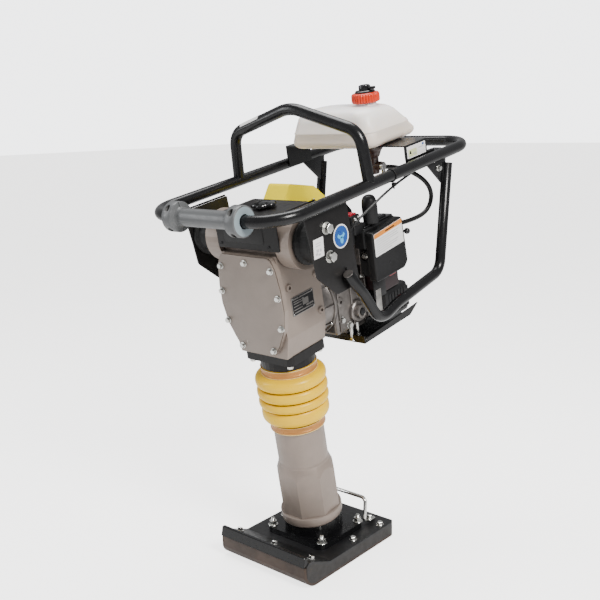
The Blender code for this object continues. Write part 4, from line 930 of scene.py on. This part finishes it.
def make_air_cleaner():
    """Box with a rounded cover, a plain label, a cover screw and the breather dome."""
    outline = rounded([(0.1755, 0.643), (0.29, 0.643), (0.306, 0.656), (0.2985, 0.77), (0.1755, 0.761)],
        [0.008, 0.012, 0.012, 0.012, 0.008], 8)
    cover = plate("cover", PLASTIC, outline, 0.1296, 0.1508, "x", 0.0045, 5, sharp=40)
    lip = plate("lip", PLASTIC, [(0.2406 + (a - 0.2406) * 0.985, 0.706 + (b - 0.706) * 0.985) for a,
        b in outline], 0.1292, 0.131, "x", 0.0006)
    parts = [cover, lip]
    face = 0.1508
    # the label's top edge follows the cover's
    label = [(0.1805, 0.703), (0.2955, 0.7075), (0.2925, 0.7645), (0.1805, 0.7562)]
    parts.append(plate("label", PAPER, rounded(label, 0.0015, 3), face - 0.0004, face + 0.0003, "x"))
    header = [(0.1812, 0.745), (0.2928, 0.7525), (0.2922, 0.7638), (0.1812, 0.7555)]
    parts.append(plate("header", LABEL_ORANGE, rounded(header, 0.0008, 3), face + 0.0002, face + 0.0005, "x"))
    rise = 0.067
    for row, length in enumerate((0.92, 0.86, 0.9, 0.55, 0.88, 0.82, 0.6)):
        u = 0.7385 - 0.0052 * row
        v0, v1 = (0.186, 0.186 + 0.1 * length)
        bar = [(v0, u), (v1, u + rise * (v1 - v0)), (v1, u + rise * (v1 - v0) + 0.0016), (v0, u + 0.0016)]
        parts.append(plate("line", GREY_INK, bar, face + 0.0002, face + 0.0005, "x"))
    bar = [(0.225, 0.7512), (0.262, 0.7537), (0.262, 0.757), (0.225, 0.7545)]
    parts.append(plate("word", INK, bar, face + 0.0004, face + 0.0006, "x"))
    # a shallow dimple in the lower half
    parts.append(lathe("dimple", PLASTIC, [(AXIS, 0.0005), (0.0035, 0.0005), (0.0046, -0.0002),
        (AXIS, -0.0004)], facing((face, 0.232, 0.676), RIGHT), 32))
    joined("air_cleaner_lid", parts, "machine", "air_cleaner_cover")

    parts = []
    put = facing((0.112, 0.1915, 0.7), FRONT)
    parts.append(lathe("cup", PLASTIC, [(0.0135, 0.0), (0.0135, 0.004), (0.0112, 0.004), (0.01, 0.0004)], put,
        40, hollow=True))
    parts += bolt((0.112, 0.1915, 0.7), FRONT, 0.01, 0.006, 0.008)
    # bright strip along the box's upper edge, where the moulding turns over
    parts.append(plate("brow", GLOSS_BLACK, box_outline((0.182, 0.7695), (0.294, 0.7735), 0.0018, 4), 0.099,
        0.127, "x", 0.0014))
    parts.append(plate("clip", GLOSS_BLACK, box_outline((0.246, 0.772), (0.272, 0.78), 0.002, 4), 0.105,
        0.124, "x", 0.0014))
    joined("air_box_detail", parts, "machine")

    dome = lathe("breather", PLASTIC, [(AXIS, 0.7735), (0.015, 0.7735), (0.0174, 0.775), (0.018, 0.778),
        (0.018, 0.812), (0.0177, 0.82), (0.0167, 0.8275), (0.0147, 0.8335), (0.0115, 0.8378), (0.0073, 0.84),
        (AXIS, 0.8405)], seat(0.125, 0.2115, 0), 72, sharp=50)
    ride(dome, "machine", "breather_dome")


# ---------------------------------------------------------------- the handle frame


def make_frame():
    repaint(POWDER, "tank_bracket")
    front, rear = (-0.168, 0.573)
    loop = filleted([(-RAIL_X, front, 0), (RAIL_X, front, 0), (RAIL_X, rear, 0), (-RAIL_X, rear, 0)], 0.078,
        16, closed=True)
    ride(sweep("handle_loop", POWDER, [(p.x, p.y, RAIL_HEIGHT) for p in loop], TUBE, closed=True, sides=48),
        "handle_frame", "main_loop")

    foot = RAIL_HEIGHT + TUBE * 0.62
    corners = [(-RAIL_X, HOOP_V, foot), (-0.184, HOOP_V, 1.0), (0.0, HOOP_V, 1.056), (0.184, HOOP_V, 1.0),
        (RAIL_X, HOOP_V, foot)]
    path = filleted(corners, [0, 0.045, 0.1, 0.045, 0], 16)
    parts = [sweep("hoop", POWDER, path, TUBE, sides=48)]
    for side in (-1, 1):
        ring = []
        for k in range(41):
            angle = 2 * math.pi * k / 40
            reach = TUBE - 0.0018
            drop = TUBE * (1 - math.sqrt(max(0.0, 1 - (math.cos(angle) * 0.95) ** 2)))
            ring.append((side * RAIL_X + reach * math.cos(angle), HOOP_V + reach * math.sin(angle),
                RAIL_HEIGHT + TUBE + 0.0012 - drop * 0.9))
        bead(ring, 0.0016, parts)
    parts.append(wrap_label((-0.15, 1.0103), (-0.09, 1.0286)))
    joined("hoop", parts, "handle_frame", "lifting_hoop")

    outline = rounded([(-0.076, 0.866), (-0.066, 0.79), (-0.061, 0.737), (-0.005, 0.683), (0.066, 0.683),
        (0.073, 0.703), (0.065, 0.833), (0.063, 0.866)], [0.002, 0.02, 0.016, 0.016, 0.012, 0.012, 0.02,
        0.002], 6)
    guard_x = PLATE_X + GUARD_TUBE + 0.0003
    guard_path = filleted([(0, 0.448, 0.86), (0, 0.372, 0.612), (0, 0.186, 0.596), (0, 0.112, 0.58),
        (0, 0.066, 0.66), (0, 0.022, 0.722)], [0, 0.04, 0.05, 0.045, 0.1, 0], 12)
    for side, word in ((-1, "left"), (1, "right")):
        sheet_plate = plate("plate", PLATE_BLACK, outline, side * (PLATE_X - 0.004), side * PLATE_X, "x",
            0.0006)
        parts = [sheet_plate]
        for u in (0.834, 0.773):
            parts += bolt((side * PLATE_X, -0.0142, u - 0.002), (side, 0, 0), 0.019, 0.011, 0.0135,
                turn=u * 7)
        bead([(side * (PLATE_X + 0.0005), -0.066, 0.8682), (side * (PLATE_X + 0.0005), 0.06, 0.8682)], 0.0022,
            parts)
        if side > 0:
            parts += plate_stickers()
        joined(f"mount_plate_{word}", parts, "handle_frame", f"side_plate_{word}")

        path = [(side * guard_x, p.y, p.z) for p in guard_path]
        tube = sweep("tube", POWDER, path, GUARD_TUBE, sides=40, soft_end=0.0012)
        outline_gusset = rounded([(0.362, 0.876), (0.45, 0.876), (0.437, 0.815), (0.425, 0.812)],
            [0.002, 0.002, 0.004, 0.004], 4)
        gusset = plate("gusset", POWDER, outline_gusset, side * (RAIL_X - 0.008), side * (RAIL_X - 0.004),
            "x", 0.0006)
        parts = [tube, gusset]
        parts += bolt((side * (RAIL_X - 0.004), 0.412, 0.8546), (side, 0, 0), 0.01, 0.006, 0.008)
        end = path[-1]
        heading = (Vector(path[-1]) - Vector(path[-2])).normalized()
        parts.append(lathe("end", ALLOY if side > 0 else POWDER, [(AXIS, 0.0), (0.0112, 0.0),
            (0.0106, 0.0009), (AXIS, 0.0011)], facing(end, heading), 36))
        bead([(side * (PLATE_X + 0.0008), end[1] + 0.01, end[2] + 0.008), (side * (PLATE_X + 0.0008),
            end[1] + 0.044, end[2] - 0.043)], 0.0024, parts)
        joined(f"guard_{word}", parts, "handle_frame", f"guard_tube_{word}")


def wrap_label(low, high):
    """A paper patch wrapped over the top of the hoop between two (x, u) places."""
    start = Vector((low[0], HOOP_V, low[1]))
    end = Vector((high[0], HOOP_V, high[1]))
    heading = (end - start).normalized()
    up = Vector((-heading.z, 0.0, heading.x))
    across = Vector((0.0, 1.0, 0.0))
    shape = bmesh.new()
    rings = []
    for k in range(9):
        centre = start.lerp(end, k / 8)
        inner, outer = ([], [])
        for j in range(13):
            angle = math.radians(-62 + 124 * j / 12)
            direction = up * math.cos(angle) - across * math.sin(angle)
            inner.append(centre + direction * (TUBE - 0.0004))
            outer.append(centre + direction * (TUBE + 0.00045))
        rings.append(outer + list(reversed(inner)))
    add_faces(shape, rings, False)
    return finish_mesh("patch", shape, [PAPER], LEG, 40)


def plate_stickers():
    """A blue round sign with plain shapes, and a small white label with plain marks."""
    face = PLATE_X
    middle = (0.0305, 0.8014)

    def ring(radius, count=64, share=(1.0, 1.0), shift=(0.0, 0.0)):
        return [(middle[0] + shift[0] + share[0] * v, middle[1] + shift[1] + share[1] * u) for v,
            u in circle(radius, count)]

    parts = [plate("disc", PAPER, ring(0.0257), face - 0.0003, face + 0.0004, "x"), plate("blue",
        STICKER_BLUE, ring(0.0226), face + 0.0003, face + 0.0006, "x"), plate("arc", STICKER_LIGHT,
        ring(0.012, 40, (1.0, 0.55), (0.0, 0.002)), face + 0.0005, face + 0.0008, "x"), plate("core",
        STICKER_BLUE, ring(0.0074, 40, (1.0, 0.62), (0.0, 0.0065)), face + 0.0007, face + 0.001, "x"),
        plate("foot", STICKER_LIGHT, ring(0.0075, 40, (0.7, 1.0), (0.001, -0.0085)), face + 0.0005,
        face + 0.0008, "x"), plate("label", PAPER, rounded([(-0.0635, 0.779), (-0.031, 0.779),
        (-0.027, 0.819), (-0.0595, 0.819)], 0.0012, 3), face - 0.0003, face + 0.0004, "x")]
    marks = [(-0.053, 0.792, -0.045, 0.797), (-0.049, 0.798, -0.041, 0.804), (-0.044, 0.79, -0.037, 0.794),
        (-0.038, 0.797, -0.033, 0.803), (-0.05, 0.81, -0.034, 0.8115), (-0.049, 0.815, -0.032, 0.8165)]
    for left, low, right, high in marks:
        parts.append(plate("mark", GREY_INK, box_outline((left - 0.0045, low - 0.0066), (right - 0.0045,
            high - 0.0066), 0.0008, 2), face + 0.0003, face + 0.0006, "x"))
    return parts


def make_tank():
    """Blow-moulded tank lofted through its levels, with a parting bead, a neck and a ribbed cap."""
    levels = [(0.9335, 0.104, 0.268, 0.42, 0.016), (0.9338, 0.11, 0.262, 0.428, 0.02), (0.936, 0.116, 0.256,
        0.435, 0.024), (0.94, 0.1205, 0.252, 0.4395, 0.026), (0.945, 0.1232, 0.2502, 0.4418, 0.026),
        (0.952, 0.1236, 0.2503, 0.4414, 0.026), (0.968, 0.119, 0.253, 0.427, 0.027), (0.9695, 0.12, 0.2522,
        0.4275, 0.027), (0.9715, 0.12, 0.2522, 0.4262, 0.027), (0.973, 0.1186, 0.2535, 0.424, 0.027),
        (0.992, 0.1122, 0.257, 0.405, 0.028), (1.004, 0.108, 0.259, 0.394, 0.03), (1.0105, 0.104, 0.262,
        0.388, 0.034), (1.0158, 0.0975, 0.267, 0.381, 0.036), (1.0192, 0.089, 0.274, 0.372, 0.038),
        (1.021, 0.076, 0.286, 0.36, 0.036), (1.0217, 0.05, 0.308, 0.338, 0.014)]
    shape = bmesh.new()
    rings = []
    for u, half, v_front, v_rear, corner in levels:
        outline = box_outline((-half, v_front), (half, v_rear), corner, 12)
        lift = [0.01 * max(0.0, min(1.0, (0.33 - v) / 0.09)) * max(0.0, (u - 1.0) / 0.026) for _,
            v in outline]
        rings.append([(x, v, u + rise * 0.4) for (x, v), rise in zip(outline, lift)])
    add_faces(shape, rings, False)
    body = finish_mesh("body", shape, [TANK], LEG, 50)
    parts = [body]
    parts.append(lathe("neck", TANK, [(0.023, 1.006), (0.0262, 1.0185), (0.025, 1.0215), (0.0238, 1.0228),
        (0.023, 1.027), (AXIS, 1.027)], seat(CAP_X, CAP_V, 0), 64))
    # eyelets where the tank is tied down, on the sloping rear flank
    for x in (-0.098, 0.098):
        parts.append(lathe("eyelet", ZINC, [(0.0062, 0.0), (0.006, 0.0014), (0.004, 0.0016),
            (0.0036, 0.0002)], facing((x, 0.427, 0.969), (0, 0.93, 0.36)), 32, hollow=True))
    joined("milky_tank", parts, "handle_frame", "fuel_tank")

    ribs = 30
    shape = bmesh.new()
    rings = []
    around = ribs * 8
    levels = [(AXIS, 1.0275, 0), (0.03, 1.0275, 0), (0.0318, 1.0282, 0.3), (0.0332, 1.0302, 1),
        (0.0335, 1.0332, 1), (0.0335, 1.0392, 1), (0.0333, 1.0442, 1), (0.0326, 1.0472, 0.7), (0.0305, 1.0492,
        0.2), (0.027, 1.0502, 0), (AXIS, 1.0502, 0)]
    for radius, level, deep in levels:
        ring = []
        for k in range(around):
            angle = 2 * math.pi * k / around
            wave = 0.5 - 0.5 * math.cos(ribs * angle)
            reach = max(1e-05, radius - 0.0022 * deep * wave ** 2)
            ring.append((CAP_X + reach * math.cos(angle), CAP_V + reach * math.sin(angle), level))
        rings.append(ring)
    add_faces(shape, rings, False)
    ride(finish_mesh("ribbed_cap", shape, [ORANGE], LEG, 45), "tank_cap", "fuel_cap")

    at = seat(CAP_X, CAP_V, 0)
    knob = lathe("knob", GLOSS_BLACK, solid((0.0235, 1.0507), (0.0238, 1.0518), (0.0232, 1.0542),
        (0.0215, 1.0554), (0.014, 1.0564), (0.013, 1.0577), (0.0131, 1.0652), (0.012, 1.0674),
        (0.0095, 1.0682)), at, 64)
    tab = plate("tab", GLOSS_BLACK, rounded([(0.055, 0.333), (0.0835, 0.333), (0.085, 0.338), (0.0835, 0.343),
        (0.055, 0.343)], [0, 0.002, 0.003, 0.002, 0], 4), 1.0577, 1.0637, "u", 0.0012)
    parts = [knob, tab]
    for k in range(10):
        angle = 2 * math.pi * k / 10
        rib = lathe("grip", GLOSS_BLACK, [(AXIS, 1.0577), (0.0014, 1.0577), (0.0014, 1.066), (AXIS, 1.0668)],
            at @ Matrix.Translation((0.0126 * math.cos(angle), 0.0126 * math.sin(angle), 0)), 12)
        parts.append(rib)
    joined("vent_knob_top", parts, "vent_knob", "cap_vent")

    # label on the bracket's outer leg
    parts = []
    for name, material, low, high, corner, base in (
        ("label", PAPER, (0.303, 0.901), (0.38, 0.928), 0.0015, -0.0003),
        ("panel", LABEL_GREEN, (0.308, 0.904), (0.342, 0.92), 0.001, 0.0003),
        ("mark", GREY_INK, (0.326, 0.908), (0.338, 0.911), 0.0008, 0.0005),
        ("mark", GREY_INK, (0.35, 0.917), (0.37, 0.919), 0.0006, 0.0003),
        ("mark", STICKER_BLUE, (0.366, 0.921), (0.374, 0.926), 0.0008, 0.0003),
    ):
        thick = 0.0007 if name == "label" else 0.0003
        parts.append(plate(name, material, box_outline(low, high, corner, 3), PLATE_X + base,
            PLATE_X + base + thick, "x"))
    drop = rounded([(0.312, 0.91), (0.32, 0.91), (0.318, 0.917), (0.314, 0.917)], 0.001, 3)
    parts.insert(2, plate("mark", INK, drop, PLATE_X + 0.0005, PLATE_X + 0.0008, "x"))
    joined("bracket_label", parts, "handle_frame")


def smooth_path(points, steps):
    """A smooth curve through the points."""
    points = [Vector(point) for point in points]
    ends = [2 * points[0] - points[1], *points, 2 * points[-1] - points[-2]]
    headings = [(after - before).normalized() for before, after in zip(ends, ends[2:])]
    path = [points[0]]
    for i in range(len(points) - 1):
        here, there = points[i:i + 2]
        chord = (there - here).length
        for step in range(1, steps + 1):
            t = step / steps
            ease = t * t * (3 - 2 * t)
            turn = headings[i] * chord * t * (1 - t) ** 2 - headings[i + 1] * chord * t * t * (1 - t)
            path.append(here.lerp(there, ease) + turn)
    return path


def make_lines():
    """Fuel tap, hose and throttle cable."""
    at = seat(0.058, 0.34, 0)
    tap = lathe("bowl", BROWN, solid((0.0232, 0.9328), (0.024, 0.9318), (0.024, 0.917), (0.0232, 0.9155),
        (0.02, 0.912), (0.017, 0.905), (0.015, 0.9), (0.012, 0.897), (0.0112, 0.894), (0.0105, 0.87),
        (0.011, 0.869), (0.011, 0.864), (0.01, 0.8575), (0.007, 0.856)), at, 56)
    boss = lathe("boss", BROWN, [(AXIS, -0.008), (0.0105, -0.008), (0.0105, 0.0065), (0.0098, 0.0078),
        (AXIS, 0.008)], facing((0.07, 0.34, 0.876), RIGHT), 40)
    spout = lathe("spout", BROWN, solid((0.0035, 0.0), (0.0035, 0.016), (0.0041, 0.018), (0.003, 0.022)),
        facing((0.058, 0.345, 0.864), REAR), 24)
    joined("tap_body", [tap, boss, spout], "handle_frame", "fuel_tap")

    wheel = lathe("wheel", STEEL, solid((0.0092, 0.0), (0.0095, 0.0008), (0.0095, 0.006), (0.0086, 0.007)),
        facing((0.0783, 0.34, 0.876), RIGHT), 40)
    handle = plate("handle", STEEL, rounded([(0.3362, 0.848), (0.3438, 0.848), (0.345, 0.876),
        (0.335, 0.876)], [0.003, 0.003, 0.001, 0.001], 5), 0.0792, 0.085, "x", 0.0012)
    joined("tap_lever", [wheel, handle], "fuel_lever", "fuel_tap_lever")

    hose_points = [(0.058, 0.369, 0.864), (0.059, 0.378, 0.864), (0.078, 0.404, 0.856), (0.11, 0.424, 0.838),
        (0.13, 0.448, 0.806), (0.133, 0.456, 0.77), (0.128, 0.432, 0.74), (0.112, 0.375, 0.731), (0.096, 0.32,
        0.737), (0.083, 0.268, 0.745), (0.0765, 0.232, 0.745), (0.0765, 0.217, 0.736), (0.0765, 0.2165,
        0.7266)]
    hose = sweep("petrol_hose", HOSE, smooth_path(hose_points, 8), 0.0056, sides=24)
    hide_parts("fuel_hose")
    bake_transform(hose)

    cable_points = [(0.1735, 0.3905, 0.88), (0.1725, 0.378, 0.877), (0.1715, 0.33, 0.866), (0.173, 0.262,
        0.856), (0.17, 0.222, 0.846), (0.156, 0.172, 0.822), (0.145, 0.135, 0.802), (0.134, 0.118, 0.785),
        (0.112, 0.116, 0.765)]
    cable = sweep("control_cable", HOSE, smooth_path(cable_points, 8), 0.0028, sides=20)
    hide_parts("throttle_cable")
    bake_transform(cable)

    # cable tie round the near rail, with its lock and tail below
    tie = []
    ring = [(RAIL_X + x - 0.0002, 0.212, RAIL_HEIGHT + u) for x, u in circle(TUBE + 0.0009, 48)]
    tie.append(sweep("loop", RUBBER, ring, 0.0012, closed=True, sides=10))
    tie.append(plate("lock", RUBBER, box_outline((0.2085, 0.8625), (0.2165, 0.8705), 0.0015, 3),
        RAIL_X + 0.001, RAIL_X + 0.01, "x", 0.001))
    tie.append(plate("tail", RUBBER, box_outline((0.2105, 0.856), (0.2145, 0.864), 0.001, 3), RAIL_X + 0.004,
        RAIL_X + 0.0055, "x", 0.0004))
    joined("cable_tie", tie, "handle_frame")


def make_roller():
    """Two clamped halves with screws sunk in pockets, and end faces painted pale to show their highlight."""
    centre = seat(0, ROLLER_V, RAIL_HEIGHT, math.pi / 2, "Y")
    bore = TUBE + 0.0006
    half = [(0.019, 0.0), (0.019, 0.07), (0.0196, 0.0745), (0.0215, 0.0772), (0.025, 0.0782), (0.03, 0.0785),
        (0.0318, 0.0792), (0.0325, 0.0808), (0.0325, 0.103), (0.0318, 0.1046), (0.0296, 0.1058),
        (0.0282, 0.106), (bore + 0.0016, 0.106), (bore, 0.1046)]
    profile = [(r, h) for r, h in half] + [(r, -h) for r, h in reversed(half[1:])]
    body = lathe("body", ROLLER_GREY, profile, centre, 96, True)
    cutters = []
    screws = []
    for x in (-0.092, 0.092):
        for up in (-1, 1):
            u = RAIL_HEIGHT + up * 0.0232
            pocket = lathe("pocket", ROLLER_GREY, solid((0.006, 0.0), (0.0066, 0.04)),
                facing((x, ROLLER_V - 0.0085, u), FRONT), 32)
            cutters.append(pocket)
            screws += socket_screw((x, ROLLER_V - 0.0085, u), FRONT, 0.0042, 0.004, ZINC)
    for up in (-1, 1):
        groove = plate("groove", ROLLER_GREY, [(-0.1685, RAIL_HEIGHT + up * 0.015),
            (-0.1675, RAIL_HEIGHT + up * 0.015), (-0.1675, RAIL_HEIGHT + up * 0.04),
            (-0.1685, RAIL_HEIGHT + up * 0.04)], -0.12, 0.12, "x")
        cutters.append(groove)
    cut(body, *cutters)
    # painted highlight: both end faces get a pale bluish colour for the light they catch
    faces = []
    for side in (-1, 1):
        faces.append(lathe("face", ROLLER_END_HIGHLIGHT, [(bore + 0.0008, side * 0.1058), (bore + 0.0012,
            side * 0.1064), (0.0284, side * 0.1064), (0.0296, side * 0.1056)], centre, 96, True))
    joined("front_roller", [body, *screws, *faces], "roller", "roller_half_front", "roller_half_rear")


# ---------------------------------------------------------------- floor, light and camera


def make_stage():
    mesh = bpy.data.meshes.new("floor")
    reach = 30.0
    mesh.from_pydata([(-reach, -reach, 0), (reach, -reach, 0), (reach, reach, 0), (-reach, reach, 0)], [],
        [(0, 1, 2, 3)])
    paint = Nodes("floor_white")
    paint.set("Base Color", paint.mixed(paint.ranged(paint.noise(3.0), 0.0, 1.0), (0.86, 0.86, 0.86),
        (0.89, 0.89, 0.89)))
    paint.set("Roughness", 0.85)
    paint.set("Emission Color", (1.0, 0.99, 0.98, 1.0))
    seen = paint.node("ShaderNodeLightPath")
    paint.set("Emission Strength", paint.ranged(seen.outputs["Is Camera Ray"], 0.25, 2.4))
    mesh.materials.append(paint.material)
    floor = placed("floor", mesh)

    world = bpy.data.worlds.new("studio")
    world.use_nodes = True
    tree = world.node_tree
    backdrop = tree.nodes.new("ShaderNodeLightPath")
    strength = tree.nodes.new("ShaderNodeMapRange")
    strength.inputs["To Min"].default_value = 0.5
    strength.inputs["To Max"].default_value = 4.0
    tree.links.new(backdrop.outputs["Is Camera Ray"], strength.inputs["Value"])
    tree.links.new(strength.outputs["Result"], tree.nodes["Background"].inputs["Strength"])
    tree.nodes["Background"].inputs["Color"].default_value = (0.98, 0.985, 1.0, 1.0)
    bpy.context.scene.world = world

    def area(name, at, aim, size, power, colour=(1.0, 1.0, 1.0)):
        light = bpy.data.lights.new(name, "AREA")
        light.shape = "RECTANGLE"
        light.size, light.size_y = size
        light.energy = power
        light.color = colour
        obj = placed(name, light)
        obj.location = at
        obj.rotation_euler = (Vector(aim) - Vector(at)).to_track_quat("-Z", "Y").to_euler()

    area("key", (2.3, -0.7, 2.4), (0.0, 0.0, 0.65), (0.9, 0.9), 125, (1.0, 0.985, 0.96))
    area("top", (-0.5, 0.3, 3.0), (0.0, 0.0, 0.9), (1.6, 1.2), 60)
    area("left", (-2.0, -1.9, 1.5), (0.0, 0.0, 0.6), (0.5, 1.6), 26, (0.96, 0.98, 1.0))


def make_camera():
    azimuth, elevation, roll = (math.radians(40.876), math.radians(11.733), math.radians(-1.441))
    aim = Vector((-0.0148, -0.0128, 0.6195))
    distance = 2.0235
    back = Vector((math.sin(azimuth) * math.cos(elevation), -math.cos(azimuth) * math.cos(elevation),
        math.sin(elevation)))
    right = Vector((math.cos(azimuth), math.sin(azimuth), 0.0))
    up = back.cross(right)
    turned_right = right * math.cos(roll) + up * math.sin(roll)
    turned_up = up * math.cos(roll) - right * math.sin(roll)
    camera = bpy.data.cameras.new("photo_view")
    camera.sensor_width = 36.0
    camera.lens = 51.58
    obj = placed("photo_view", camera)
    matrix = Matrix((turned_right, turned_up, back)).transposed().to_4x4()
    matrix.translation = aim + back * distance
    obj.matrix_world = matrix
    bpy.context.scene.camera = obj


make_camera()
make_stage()
make_foot()
make_boot()
make_gearbox()
make_engine()
make_frame()
make_tank()
make_lines()
make_roller()
